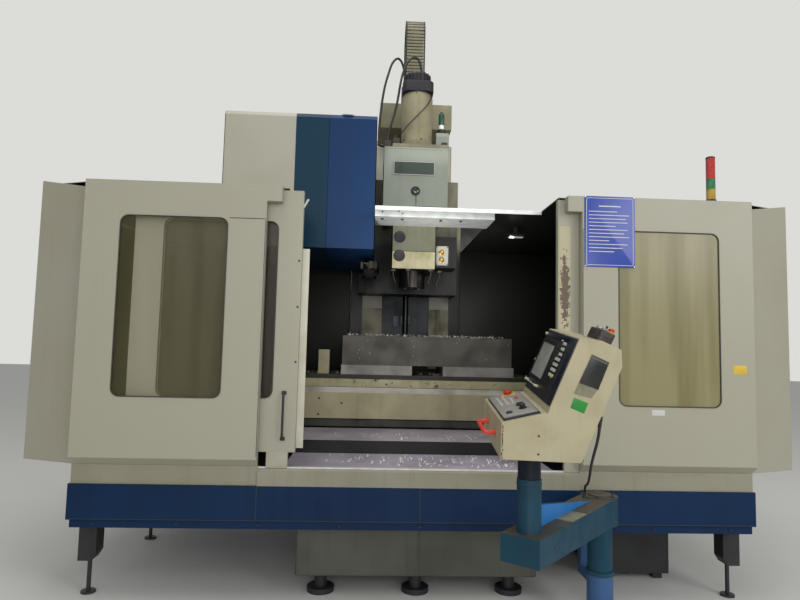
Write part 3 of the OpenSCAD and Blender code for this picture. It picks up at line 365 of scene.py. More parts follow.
def ofNormal(tree, colour, hexText, operation):
    # another colour where the face looks up (GREATER_THAN) or sideways (LESS_THAN)
    normal = addNode(tree, "NewGeometry").outputs["Normal"]
    upward = addNode(tree, "SeparateXYZ", None, {0: normal}).outputs[2]
    return mixed(tree, maths(tree, operation, upward, 0.6), colour, hexText)


# the painted shade of the cabin stops at the rear wall, and its edge is blurred over a height
cabinShade = {"behind": 0.995, "blur": 0.12}


def enamel(name, hexText, grimeHex, **finish):
    # Two-pack enamel sprayed on folded steel: the eye sees a soft sheen, a slight orange peel,
    # cloudy grime, streaks that run down, and chips down to a darker undercoat.
    material, tree, shader, place = startMaterial(name)
    cloud = mapped(tree, noise(tree, place, finish.get("cloud", 2.2), 5.0), 0.42, 0.78)
    streak = mapped(tree, drawnNoise(tree, place, (26.0, 26.0, 0.9), 4.0), 0.56, 0.95)
    dirt = maths(tree, "MULTIPLY", maths(tree, "ADD", cloud, streak, True), finish.get("grime", 0.35))
    chipAt = finish.get("chipAt", 0.735)
    chipped = mapped(tree, noise(tree, place, finish.get("chip", 34.0), 6.0, 0.7), chipAt, chipAt + 0.012)
    colour = mixed(tree, dirt, hexText, grimeHex)
    colour = mixed(tree, chipped, colour, finish.get("chipHex", grimeHex))
    if "insideHex" in finish:
        # painted shade: faces that look towards the middle of the cabin take a near-black colour for the dark
        # inside the cabin
        facing = addNode(tree, "NewGeometry").outputs["Normal"]
        outward = vectors(tree, "SUBTRACT", {0: place, 1: finish["insideMiddle"]})
        dot = vectors(tree, "DOT_PRODUCT", {0: facing, 1: outward}, "Value")
        colour = mixed(tree, maths(tree, "LESS_THAN", dot, finish["insideAt"]), colour, finish["insideHex"])
    if "lowHex" in finish:
        # painted shade: below a height, and in front of the rear wall, the paint turns dark for the shade
        # inside the cabin
        axes = addNode(tree, "SeparateXYZ", None, {0: place})
        low = mapped(tree, axes.outputs[2], finish["lowAt"] + cabinShade["blur"],
                     finish["lowAt"] - cabinShade["blur"])
        within = maths(tree, "LESS_THAN", axes.outputs[1], cabinShade["behind"])
        colour = mixed(tree, maths(tree, "MULTIPLY", low, within), colour, finish["lowHex"])
    if "topHex" in finish:
        colour = ofNormal(tree, colour, finish["topHex"], "GREATER_THAN")
    shader.inputs["Specular IOR Level"].default_value = finish.get("gloss", 0.4)
    # real orange peel is about 2 mm across; 8 mm is the finest that shows here
    surface(tree, shader, colour, mapped(tree, dirt, toLow=finish.get("roughness", 0.42), toHigh=0.75),
            noise(tree, place, 120.0, 2.0), 0.02, 0.002)
    return material


def bareSteel(name, hexText, grimeHex, **finish):
    # Ground or cold-rolled steel in daily use: brushed along one way, with oil in brown clouds,
    # and pale chips lying about on it.
    material, tree, shader, place = startMaterial(name)
    oil = noise(tree, place, finish.get("cloud", 3.5), 5.0)
    stain = mapped(tree, oil, 0.40, 0.70, 0.0, finish.get("grime", 0.6))
    colour = mixed(tree, stain, hexText, grimeHex)
    flakes = addNode(tree, "TexVoronoi", {"feature": "F1"}, {"Vector": place, "Scale": 38.0})
    near = maths(tree, "LESS_THAN", flakes.outputs["Distance"], 0.12)
    some = maths(tree, "GREATER_THAN", noise(tree, place, 7.0, 3.0), finish.get("flakeAt", 0.57))
    colour = mixed(tree, maths(tree, "MULTIPLY", near, some), colour, "#b5b3aa")
    if "sideHex" in finish:
        colour = ofNormal(tree, colour, finish["sideHex"], "LESS_THAN")
    shader.inputs["Metallic"].default_value = finish.get("metallic", 0.85)
    surface(tree, shader, colour, mapped(tree, stain, toLow=finish.get("roughness", 0.32), toHigh=0.62),
            drawnNoise(tree, place, (3.0, 120.0, 120.0), 3.0), 0.12, 0.001)
    return material


def moulding(name, hexText, wornHex, **finish):
    # Moulded or printed plastic: even colour with faint hand marks and a fine spark-eroded grain
    material, tree, shader, place = startMaterial(name)
    marks = noise(tree, place, finish.get("cloud", 18.0), 4.0)
    worn = mapped(tree, marks, 0.45, 0.75, 0.0, finish.get("wear", 0.3))
    fresh = finish.get("roughness", 0.45)
    # the real grain is under 0.5 mm; 2 mm is the finest that shows
    surface(tree, shader, mixed(tree, worn, hexText, wornHex),
            mapped(tree, worn, toLow=fresh, toHigh=fresh + 0.15),
            noise(tree, place, 480.0, 1.0), 0.06, 0.0005)
    shader.inputs["Alpha"].default_value = finish.get("alpha", 1.0)
    shader.inputs["Coat Weight"].default_value = finish.get("coat", 0.0)
    return material


def hazyPane(name, hexText, streakHex, low, high, turnAt):
    # Acrylic pane crazed and filmed by coolant: hazy and streaked downwards. Its opacity goes from low on the
    # left
    # of the doorway to high on the right: painted light that makes the panes on the two sides unequally
    # bright
    material, tree, shader, place = startMaterial(name)
    streak = mapped(tree, drawnNoise(tree, place, (9.0, 9.0, 0.6), 3.0), 0.40, 0.65)
    across = addNode(tree, "SeparateXYZ", None, {0: place}).outputs[0]
    tree.links.new(mixed(tree, streak, hexText, streakHex), shader.inputs["Base Color"])
    tree.links.new(mapped(tree, across, -turnAt, turnAt, low, high), shader.inputs["Alpha"])
    shader.inputs["Roughness"].default_value = 0.25
    return material


def rubbedPaint(name, hexText, bareHex, middle, reach):
    # Cream paint rubbed through where hands pull the door: a brown patch with a ragged rim of specks,
    # bare where the distance from its middle, counted in reaches, and a noise add up to less than about 1
    material, tree, shader, place = startMaterial(name)
    centred = vectors(tree, "SUBTRACT", {0: place, 1: middle})
    shrunk = vectors(tree, "DIVIDE", {0: centred, 1: reach})
    distance = vectors(tree, "LENGTH", {0: shrunk}, "Value")
    ragged = mapped(tree, noise(tree, place, 42.0, 6.0, 0.7), 0.25, 0.75, -0.9, 0.9)
    bare = mapped(tree, maths(tree, "ADD", distance, ragged), 1.05, 0.90)
    tree.links.new(mixed(tree, bare, hexText, bareHex), shader.inputs["Base Color"])
    shader.inputs["Roughness"].default_value = 0.55
    return material


# front sheets: their backs look to +Y; all other cabin sheets: their inner faces look at the cabin's middle;
# these inner faces take a near-black painted shade
frontInside = {"insideHex": "#24261f", "insideMiddle": (0.0, 50.0, 1.3), "insideAt": -20.0}
wallInside = {"insideHex": "#24261f", "insideMiddle": (0.0, -0.1, 1.3), "insideAt": -0.3}
creamEnamel = enamel("creamEnamel", "#9a9787", "#8a846c", grime=0.14, chipHex="#6d6546", **frontInside)
wallEnamel = enamel("wallEnamel", "#979485", "#857c5c", grime=0.25, chipHex="#6d6546", **wallInside)
sillEnamel = enamel("sillEnamel", "#8a8777", "#6f6748", grime=0.5, chipHex="#55492e", chipAt=0.70,
                    **frontInside)
coatEnamel = enamel("coatEnamel", "#a3a192", "#7d7354", grime=0.2)
deskEnamel = enamel("deskEnamel", "#a49c80", "#6e6144", grime=0.35, cloud=7.0, chip=60.0)
headEnamel = enamel("headEnamel", "#8e9488", "#77755d", grime=0.35, cloud=4.0)
# headCastEnamel, upperGreen, columnEnamel and shutterPale turn darker below a height: painted shade low in
# the cabin
headCastEnamel = enamel("headCastEnamel", "#7f7d66", "#3c3826", grime=0.7, cloud=4.0, lowHex="#0f0f0c",
                        lowAt=2.42)
upperGreen = enamel("upperGreen", "#777962", "#4c4e38", grime=0.7, cloud=6.0, lowHex="#6c6e58", lowAt=2.26)
lowerCream = enamel("lowerCream", "#bab48f", "#776c4a", grime=0.55, cloud=9.0, chipAt=0.66)
plateGreen = enamel("plateGreen", "#3e4a42", "#2a322c", grime=0.5)
columnEnamel = enamel("columnEnamel", "#8e8a6e", "#5c553a", grime=0.5, cloud=3.0, lowHex="#0b0b09",
                      lowAt=2.35)
shutterPale = enamel("shutterPale", "#b5b2a6", "#77745f", grime=0.4, cloud=5.0, lowHex="#a8a498", lowAt=2.05)
shutterOlive = enamel("shutterOlive", "#8f8b72", "#4c4934", grime=0.9, cloud=6.0)
# the column's panel: dark blue paint, darkened further to near black as painted shade inside the cabin
columnBlue = enamel("columnBlue", "#0a151e", "#0b141b", grime=0.7, cloud=5.0)
# the skirt's upward faces take near black: painted shade on its deck
navyEnamel = enamel("navyEnamel", "#0a2747", "#06182f", grime=0.6, chipHex="#3d5a7c", chipAt=0.76,
                    gloss=0.15, topHex="#101214")
changerBlue = enamel("changerBlue", "#0a2f57", "#0a3158", grime=0.5, chipAt=0.8, gloss=0.2)
changerTeal = enamel("changerTeal", "#052f43", "#053247", grime=0.5, chipAt=0.8, gloss=0.2)
armTeal = enamel("armTeal", "#143a4d", "#143440", grime=0.7, cloud=8.0, chipHex="#7f989d", chipAt=0.72,
                 topHex="#4b463a", gloss=0.2)
gussetBlue = enamel("gussetBlue", "#2472b4", "#164c7c", grime=0.4, gloss=0.3)
pedestalBlue = enamel("pedestalBlue", "#37567f", "#24384f", grime=0.6, cloud=9.0, chipAt=0.70,
                      chipHex="#8d9dab", gloss=0.25)
postDark = enamel("postDark", "#0e1822", "#0e161e", grime=0.6, cloud=9.0, gloss=0.2)
darkTeal = enamel("darkTeal", "#1d4152", "#10242e", grime=0.6, cloud=9.0, gloss=0.2)
pumpTeal = enamel("pumpTeal", "#24474a", "#142526", grime=0.6, cloud=9.0)
dustyTop = enamel("dustyTop", "#4d4a40", "#2f2c22", grime=0.7, cloud=12.0, chipHex="#8b887a", chipAt=0.66)
ventGrey = enamel("ventGrey", "#7d7a68", "#56523c", grime=0.6, cloud=12.0)
wornPaint = rubbedPaint("wornPaint", "#a8a285", "#5b4b3a", middle=(0.832, -1.140, 1.800),
                        reach=(0.026, 1.0, 0.200))
bandPaint = enamel("bandPaint", "#aca582", "#6b5f3f", grime=0.5, cloud=7.0, chip=22.0, chipAt=0.62,
                   chipHex="#3a3320")
guardPaint = enamel("guardPaint", "#a59e7c", "#6d6140", grime=0.45, cloud=4.0, chip=26.0, chipAt=0.68,
                    chipHex="#5c3a20", topHex="#9a988e")
darkEnamel = enamel("darkEnamel", "#26272a", "#161718", grime=0.6, cloud=6.0)
greyCasting = enamel("greyCasting", "#4c4c44", "#2b2a24", grime=0.7, cloud=3.0)
sootyCasting = enamel("sootyCasting", "#33332c", "#161612", grime=0.9, cloud=4.0)
motorEnamel = enamel("motorEnamel", "#8b866b", "#5d5338", grime=0.6, cloud=5.0)
motorDark = enamel("motorDark", "#221f26", "#1a181d", grime=0.6, cloud=9.0)
rustyEdge = enamel("rustyEdge", "#6d5d42", "#3d2919", grime=0.9, cloud=14.0, chipAt=0.62)
# the way covers' upright faces are near black: painted shade in the gaps under each next sheet
coverSteel = bareSteel("coverSteel", "#b9b0bb", "#857e87", grime=0.75, roughness=0.5, sideHex="#040404",
                       flakeAt=0.54, metallic=0.15)
tableSteel = bareSteel("tableSteel", "#6b665a", "#2a261c", grime=0.8, roughness=0.5, sideHex="#2a2820",
                       metallic=0.3)
blockSteel = bareSteel("blockSteel", "#57534a", "#2e2b24", grime=0.8, roughness=0.5, metallic=0.2, cloud=5.0)
groundSteel = bareSteel("groundSteel", "#8d8b84", "#4c463b", grime=0.6, flakeAt=0.9)
zincSheet = bareSteel("zincSheet", "#dfe2e0", "#aeb0ab", grime=0.5, flakeAt=0.9, metallic=0.15, cloud=16.0)
wornLip = bareSteel("wornLip", "#cfcdc6", "#7c7256", grime=0.9, metallic=0.2, cloud=2.2, flakeAt=0.9,
                    roughness=0.4)
footSteel = bareSteel("footSteel", "#8b8983", "#4d4a41", grime=0.7, metallic=0.2, cloud=5.0, flakeAt=0.9,
                      roughness=0.45)
oilySteel = bareSteel("oilySteel", "#3b3733", "#17120f", grime=0.8, flakeAt=0.9, roughness=0.3)
turnedAlu = bareSteel("turnedAlu", "#9fa0a0", "#55544e", grime=0.6, flakeAt=0.9, cloud=40.0)
brassMetal = bareSteel("brassMetal", "#b8964d", "#6f5526", grime=0.4, flakeAt=0.9, metallic=1.0)
paleChip = bareSteel("paleChip", "#f0efe9", "#c9c6ba", grime=0.5, flakeAt=0.9, metallic=0.1)
blackMoulding = moulding("blackMoulding", "#18181a", "#323234")
oilyBlack = moulding("oilyBlack", "#0d0c0b", "#231f18", roughness=0.3, wear=0.6)
seamShade = moulding("seamShade", "#2a2a24", "#3c3a2e", roughness=0.7)
darkRubber = moulding("darkRubber", "#35332a", "#4a4736", roughness=0.6)
hoseSheath = moulding("hoseSheath", "#1c1c1c", "#3a3934", roughness=0.5)
chainNylon = moulding("chainNylon", "#777259", "#5a553f", wear=0.6, cloud=9.0)
chainSide = moulding("chainSide", "#1c1b14", "#3a3828", wear=0.6, cloud=9.0)
whiteStrip = moulding("whiteStrip", "#b9b6a6", "#9b9376", wear=0.6, cloud=5.0)
paleKey = moulding("paleKey", "#b5b3a5", "#8a8570", wear=0.5, cloud=40.0)
keyGrey = moulding("keyGrey", "#85827c", "#9c978f", wear=0.6)
greyPlate = moulding("greyPlate", "#4a4b45", "#2e2d27", wear=0.5, cloud=9.0)
panelBlack = moulding("panelBlack", "#121314", "#26262a", roughness=0.35)
panelDark = moulding("panelDark", "#17191b", "#2b2d2c", wear=0.6, roughness=0.38, cloud=12.0)
panelNavy = moulding("panelNavy", "#0e1626", "#1c2434", wear=0.5, roughness=0.35)
slateMoulding = moulding("slateMoulding", "#46566a", "#26303c", wear=0.7, cloud=14.0)
screenGlass = moulding("screenGlass", "#9a9c95", "#85887f", roughness=0.14, coat=0.5, cloud=6.0)
redKnob = moulding("redKnob", "#b3231d", "#7b1914", roughness=0.3)
yellowSheet = moulding("yellowSheet", "#c9a726", "#96781a", wear=0.5)
orangeGrip = moulding("orangeGrip", "#d63c2b", "#9c3426", wear=0.4)
greenLabel = moulding("greenLabel", "#0d7a26", "#0b5c1e")
greenBody = moulding("greenBody", "#1d4a38", "#12302a", roughness=0.3)
brownConnector = moulding("brownConnector", "#2c221b", "#4a3a2a", wear=0.6)
brownMoulding = moulding("brownMoulding", "#2a2420", "#4a4038", wear=0.5)
oilTrace = moulding("oilTrace", "#6f6b4e", "#85836c", wear=0.8, roughness=0.25)
oilGlass = moulding("oilGlass", "#2a2f22", "#3c4030", roughness=0.08, coat=0.8)
lampGlass = moulding("lampGlass", "#f2f4ec", "#a9a995", roughness=0.2)
boardBlue = moulding("boardBlue", "#2a419a", "#243a88", roughness=0.3, cloud=4.0)
paleLabel = moulding("paleLabel", "#bcbdbb", "#9f9896")
windowPane = hazyPane("windowPane", "#918b66", "#7b754f", low=0.13, high=0.80, turnAt=0.2)
doorPane = hazyPane("doorPane", "#3f382b", "#352f22", low=0.55, high=0.30, turnAt=0.2)
redLens = moulding("redLens", "#b8332d", "#982924", roughness=0.2, alpha=0.92)
greenLens = moulding("greenLens", "#2f7a50", "#28633f", roughness=0.2, alpha=0.92)
yellowLens = moulding("yellowLens", "#b89632", "#957426", roughness=0.2, alpha=0.92)
print("stage: materials")


# Cords: the routes in millimetres, in the same places as the CAD, and how thick each is in metres
cords = {
    "outerRoute": [[-284, -20, 3040], [-285, -20, 3095], [-284, -20, 3150], [-281, -20, 3205],
                   [-277, -20, 3260], [-272, -19, 3315], [-266, -17, 3370], [-259, -14, 3425],
                   [-250, -9, 3482], [-238, 0, 3542], [-222, 10, 3605], [-200, 25, 3685], [-173, 42, 3737],
                   [-145, 62, 3760], [-118, 84, 3745], [-98, 105, 3700], [-88, 120, 3640], [-85, 128, 3595],
                   [-85, 130, 3555]],
    "innerRoute": [[-216, -20, 3059], [-208, -20, 3110], [-196, -20, 3160], [-182, -20, 3210],
                   [-169, -20, 3262], [-157, -18, 3315], [-147, -15, 3370], [-138, -10, 3430],
                   [-130, -5, 3490], [-121, 5, 3550], [-109, 15, 3610], [-90, 28, 3672], [-63, 43, 3732],
                   [-27, 62, 3774], [12, 82, 3776], [38, 102, 3735], [52, 118, 3670], [58, 127, 3612],
                   [60, 130, 3555]],
    "wireRoute": [[-125, -45, 3075], [-113, -72, 3090], [-96, -92, 3110], [-72, -112, 3136],
                  [-44, -124, 3165], [-12, -130, 3199], [20, -130, 3234], [50, -125, 3269],
                  [78, -113, 3305], [98, -98, 3340], [112, -82, 3375], [120, -68, 3403], [122, -60, 3430]],
    "cableRoute": [[624, -2219, 1190], [624, -2219, 1170], [625, -2212, 1140], [627, -2196, 1105],
                   [632, -2166, 1070], [640, -2124, 1035], [651, -2074, 1000], [665, -2020, 966],
                   [682, -1962, 934], [702, -1900, 905], [726, -1830, 875], [752, -1750, 844],
                   [780, -1666, 814], [807, -1584, 786], [826, -1516, 762], [838, -1466, 748],
                   [848, -1430, 736], [855, -1406, 717], [857, -1395, 698], [857, -1395, 680]],
    "hoseAcross": 0.018,
    "wireAcross": 0.008,
    "cableAcross": 0.012,
}


def cordPath(route):
    # an even curve through the route's points, which are in millimetres
    return smoothed(np.array(route, float) / 1000, 4)


def makeHose(name, route, across):
    # a tube swept along the route
    path = cordPath(route)
    hose = makePiece(name, [(carried(circle(across / 2), path), hoseSheath)], "head", ["head_hoses"])


def makeDeskCable(route, across):
    # the cable hangs between the desk and the arm, across the joint between them
    path = cordPath(route)
    cable = buildPiece("deskCable", [(carried(circle(across / 2), path), hoseSheath)])
    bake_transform(cable)
    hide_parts("desk_cable")


makeHose("outerHose", cords["outerRoute"], cords["hoseAcross"])
makeHose("innerHose", cords["innerRoute"], cords["hoseAcross"])
makeHose("motorWire", cords["wireRoute"], cords["wireAcross"])
makeDeskCable(cords["cableRoute"], cords["cableAcross"])
print("stage: cords")


# Cabin: panels, walls and roof with rounded folds, window seals, seams and screws
cabin = {
    "frontY": -1.200,
    "doorY": -1.140,
    "windowMiddle": (1.429, 1.6425),
    "windowSize": (0.598, 1.015),
    "windowRound": 0.045,
    "sealWidth": 0.007,
    "seamThick": 0.0008,
    "seam": {"at": (1.020, 2.152), "size": (0.205, 0.004, 0.0015)},
    "stileSeam": {"at": (0.9185, 1.48), "size": (0.003, 1.33, 0.001)},
    "bridge": ((-0.85, -0.80, 2.28), (0.85, -0.39, 2.36)),
    "shadeSheetSize": (0.36, 0.25),
    "shadeSheetAt": (0.66, 2.470, 1.000),
}


def onFront(shape, x, z, y):
    # shape drawn lying on its back, stood up to face the operator at (x, z) on the plane y
    return moved(shape, (x, y, z), frontX, frontZ)


def windowSeal(centre, size, y):
    # black rubber section run round the window: a low half-round on the face of the sheet
    outline = roundOutline(size[0], size[1], cabin["windowRound"], 7)
    path = np.stack([centre[0] + outline[:, 0], np.full(len(outline), y), centre[1] + outline[:, 1]], axis=1)
    half = cabin["sealWidth"] / 2
    section = np.array([(-half, -0.002), (half, -0.002), (half * 0.7, 0.003), (-half * 0.7, 0.003)])
    along = np.roll(path, -1, 0) - np.roll(path, 1, 0)
    along /= np.linalg.norm(along, axis=1)[:, None]
    outward = np.cross(along, downY)
    rings = path[:, None] + section[None, :, :1] * outward[:, None] + section[None, :, 1:] * np.array(downY)
    return rings.reshape(-1, 3), ringFaces(len(path), 4, closed=True)


def screwHead(radius=0.006, height=0.003):
    # cheese head with a rounded rim
    return turned([(radius, 0), (radius, height * 0.6), (radius * 0.75, height), (radius * 0.2, height)], 12)


def hexHead(across, height):
    # six-sided head with a chamfered top
    r = across / math.sqrt(3)
    return turned([(r, 0), (r, height * 0.8), (r * 0.85, height)], 6)


softened("front_panels", "frontPanels", 0.004, creamEnamel)
seams = []
for side, name in sideNames:
    middle = (side * cabin["windowMiddle"][0], cabin["windowMiddle"][1])
    makePiece("panelSeal" + name, [(windowSeal(middle, cabin["windowSize"], cabin["frontY"]), darkRubber)],
              "machine")
    # sheets meet in a thin dark line between the window and the door opening
    for line in (cabin["seam"], cabin["stileSeam"]):
        long, wide, r = line["size"]
        x, z = line["at"]
        seams.append(onFront(slab(long, wide, cabin["seamThick"], r, 0.0003), side * x, z, cabin["frontY"]))
makePiece("panelSeams", [(joined(seams), seamShade)], "machine")
dress("front_windows", windowPane)
softened("left_side_wall", "leftWall", 0.003, wallEnamel)
softened("right_side_wall", "rightWall", 0.003, wallEnamel)
softened("rear_wall", "rearWall", 0.002, wallEnamel)
paintFaces(softened("roof", "roofSheets", 0.002, wallEnamel), *cabin["bridge"], zincSheet)
# a near-black sheet high on the rear wall: painted shade seen through the opening in the roof
shadeSheet = onFront(slab(*cabin["shadeSheetSize"], 0.003, 0.010, 0.001), *cabin["shadeSheetAt"])
makePiece("rearShadeSheet", [(shadeSheet, oilyBlack)], "machine")
softened("front_aprons", "frontAprons", 0.002, sillEnamel)
softened("roof_beam", "roofBeam", 0.001, zincSheet)
dress("door_rails", zincSheet)
softened("levelling_feet", "levellingFeet", 0.003, darkEnamel)
softened("bed", "castBed", 0.012, greyCasting)
dress("base_skirt", navyEnamel)
print("stage: cabin")


# Skirt: seams where its sheets meet, a long one under its face, and bolts along the set-back band
skirt = {"y": -1.160, "seams": (-0.915, 0.0, 0.915), "seamSize": (0.004, 0.190), "seamZ": 0.5535,
         "lineSize": (3.86, 0.003), "lineZ": 0.462, "bandY": -1.145, "bolts": (-1.8, 1.8, 9), "boltZ": 0.434}
skirtLines = [onFront(slab(*skirt["seamSize"], 0.001, 0.001, 0.0003), x, skirt["seamZ"], skirt["y"])
              for x in skirt["seams"]]
skirtLines.append(onFront(slab(*skirt["lineSize"], 0.001, 0.001, 0.0003), 0, skirt["lineZ"], skirt["y"]))
makePiece("skirtSeams", [(joined(skirtLines), seamShade)], "machine")
bandBolts = [onFront(hexHead(0.013, 0.006), x, skirt["boltZ"], skirt["bandY"])
             for x in np.linspace(*skirt["bolts"])]
makePiece("bandBolts", [(joined(bandBolts), darkEnamel)], "machine")


# Sign board: blue, with a pale border line, and ruled bars where the words would be
board = {"middle": (1.0755, 2.1425), "size": (0.299, 0.418), "line": 0.003, "inset": 0.010, "thick": 0.004,
         "bars": (0.17, 0.24, 0.22, 0.23, 0.16, 0.23, 0.21, 0.24, 0.12, 0.23, 0.20, 0.15), "barLeft": -0.125,
         "barTop": 0.118, "barPitch": 0.0215, "title": (0.13, 0.007), "titleZ": 0.150, "screwInset": 0.006}


def ringPlate(w, h, r, width, t):
    # flat frame: the outline and the same drawn in by its width, raised by t
    outer = roundOutline(w, h, r, 6)
    inner = roundOutline(w - 2 * width, h - 2 * width, max(r - width, 0.001), 6)
    flat = np.stack([outer, outer, inner, inner])
    heights = np.array([0, t, t, 0.0])
    rings = np.concatenate([flat, np.broadcast_to(heights[:, None, None], flat.shape[:2] + (1,))], axis=2)
    return rings.reshape(-1, 3), ringFaces(4, len(outer), closed=True)


def makeBoard():
    # bars hang from the top one at an even pitch, each from the same left edge
    x, z = board["middle"]
    w, h = board["size"]
    face = cabin["frontY"] - board["thick"]
    base = onFront(slab(w, h, board["thick"], 0.010, 0.001), x, z, cabin["frontY"])
    border = ringPlate(w - 2 * board["inset"], h - 2 * board["inset"], 0.012, board["line"], 0.0006)
    bars = [onFront(slab(long, 0.0045, 0.0006, 0.001, 0.0002), x + board["barLeft"] + long / 2,
                    z + board["barTop"] - board["barPitch"] * k, face)
            for k, long in enumerate(board["bars"])]
    bars.append(onFront(slab(*board["title"], 0.0006, 0.001, 0.0002), x, z + board["titleZ"], face))
    acrossHalf, upHalf = w / 2 - board["screwInset"], h / 2 - board["screwInset"]
    screws = [onFront(screwHead(0.004, 0.002), x + i * acrossHalf, z + k * upHalf, face)
              for i in (-1, 1) for k in (-1, 1)]
    makePiece("signBoard",
              [(base, boardBlue), (onFront(border, x, z, face), paleLabel), (joined(bars), paleLabel),
                            (joined(screws), zincSheet)], "machine", ["sign_board"])


makeBoard()


# Signal light: three ribbed lenses between a base and a cap
stack = {"place": (1.745, -1.100, 0), "radius": 0.027, "edges": (2.380, 2.444, 2.508, 2.637), "base": 2.350,
         "ribPitch": 0.008, "ribDepth": 0.0012, "step": 0.002}


def ribbedLens(low, high, radius):
    # the wall swells and shrinks as a cosine of the height, as a moulded lens does
    height = np.linspace(low, high, int((high - low) / stack["step"]) + 1)
    wave = np.cos((height - low) / stack["ribPitch"] * 2 * np.pi)
    return turned(np.stack([radius - stack["ribDepth"] + stack["ribDepth"] * wave, height], axis=1), 28)


def makeStackLight():
    # lenses stand 1 mm apart, on a base under a cap
    r, edges, low = stack["radius"], stack["edges"], stack["base"]
    parts = [moved(ribbedLens(edges[k], edges[k + 1] - 0.001, r), stack["place"]) for k in range(3)]
    makePiece("signalLenses", list(zip(parts, (yellowLens, greenLens, redLens))), "machine", ["stack_lenses"])
    top = edges[3]
    base = turned([(0.031, low), (0.031, low + 0.022), (0.029, edges[0])], 28)
    cap = turned([(r, top), (r, top + 0.006), (r * 0.8, top + 0.010), (0.002, top + 0.010)], 28)
    makePiece("signalCap", [(moved(shape, stack["place"]), blackMoulding) for shape in (base, cap)],
              "machine", ["stack_light_base"])


makeStackLight()
print("stage: sign and signal light")


# Doors: window seals, handles, joint strip, screws, worn stile of the right door
doors = {
    "windowX": {"left_door": -1.178, "right_door": 1.254},
    "windowSize": (0.650, 1.015),
    "handleX": {"left_door": -0.785, "right_door": 0.861},
    "handleZ": (0.899, 1.178),
    "bow": 0.031,
    "strip": ((-0.730, -1.1005, 0.84), (-0.665, -1.09, 2.01)),
    "screwX": -0.728,
    "screwZ": (1.343, 1.658, 1.925),
    "tabAt": (-0.700, -1.141, 2.262),
    "wornSize": (0.068, 1.330),
    "wornAt": (0.829, 1.515),
}


def bowHandle(x, y, low, high):
    # bar bent back at both ends into two feet
    out, foot = doors["bow"], 0.011
    path = smoothed([(x, y, low + foot), (x, y - 0.020, low + foot), (x, y - out, low + 0.030),
                     (x, y - out, (low + high) / 2), (x, y - out, high - 0.030), (x, y - 0.020, high - foot),
                     (x, y, high - foot)])
    bow = carried(roundOutline(0.014, 0.013, 0.005, 4), path, frontX)
    return joined([bow] + [onFront(slab(0.028, 0.022, 0.003, 0.006, 0.001), x, z, y)
                           for z in (low + foot, high - foot)])


leftDoor = softened("left_door", "leftDoorSkin", 0.003, creamEnamel)
paintFaces(leftDoor, *doors["strip"], whiteStrip)
softened("right_door", "rightDoorSkin", 0.003, creamEnamel)
for node, camel in (("left_door", "leftDoor"), ("right_door", "rightDoor")):
    middle = (doors["windowX"][node], cabin["windowMiddle"][1])
    makePiece(camel + "Seal", [(windowSeal(middle, doors["windowSize"], cabin["doorY"]), darkRubber)], node)
    dress(node + "_pane", doorPane)
    bow = bowHandle(doors["handleX"][node], cabin["doorY"], *doors["handleZ"])
    makePiece(camel + "Handle", [(bow, blackMoulding)], node, [node + "_handle"])
doorScrews = [onFront(screwHead(), doors["screwX"], z, cabin["doorY"]) for z in doors["screwZ"]]
makePiece("stripScrews", [(joined(doorScrews), darkEnamel)], "left_door")
tab = moved(slab(0.012, 0.060, 0.003, 0.003, 0.001), doors["tabAt"], (0.87, 0, -0.49), (0.49, 0, 0.87))
makePiece("doorTab", [(tab, whiteStrip)], "left_door")
wornStrip = onFront(slab(*doors["wornSize"], 0.0012, 0.002, 0.0004), *doors["wornAt"], cabin["doorY"])
makePiece("rightDoorStile", [(wornStrip, wornPaint)], "right_door")
print("stage: doors")


# Tape and a sticker left bare on the right panel: place in X and Z, then size
stickers = ((1.843, 1.356, 0.080, 0.050), (1.357, 1.1005, 0.076, 0.033))
bare = [onFront(slab(w, h, 0.0008, 0.002, 0.0002), x, z, cabin["frontY"]) for x, z, w, h in stickers]
makePiece("bareStickers", list(zip(bare, (yellowSheet, paleLabel))), "machine")


# Roof beam: hanging bolts and rivets
beam = {"bolts": (-0.249, -0.114, 0.144, 0.281), "boltY": -0.640, "boltZ": 2.300, "faceY": -0.7015,
        "rivets": ((-0.250, 2.330), (-0.141, 2.336), (-0.115, 2.322))}
boltShapes = repeated(hexHead(0.016, 0.010), [(x, beam["boltY"], beam["boltZ"]) for x in beam["bolts"]],
                      frontX, downY)
rivetShapes = joined([onFront(screwHead(0.005, 0.002), x, z, beam["faceY"]) for x, z in beam["rivets"]])
makePiece("beamBolts", [(boltShapes, darkEnamel), (rivetShapes, darkEnamel)], "machine")


# Column: casting, the telescopic shutters over its ways, blue panel with two cable blocks
softened("column", "columnCasting", 0.006, columnEnamel)
column = {"wayX": (0.212, 0.394), "steps": (1.250, 1.595, 1.790, 2.100, 2.420, 3.320), "front": 0.840,
          "lap": 0.004, "narrower": 0.002, "oliveBelow": 2,
          "blocks": ((0.053, 0.109, -0.0865, 1.6705), (0.086, 0.079, 0.0, 1.6865)), "blockY": 0.858}


def shutterSide(side):
    # each segment stands a lap in front of the one below and is a little narrower
    inner, outer = column["wayX"]
    lap = column["lap"]
    parts = []
    for k, (low, high) in enumerate(zip(column["steps"][:-1], column["steps"][1:])):
        sheet = slab(outer - inner - column["narrower"] * k, high - low, lap, 0.002, 0.0008)
        parts.append(onFront(sheet, side * (inner + outer) / 2, (low + high) / 2,
                             column["front"] + lap * k + lap))
    return parts


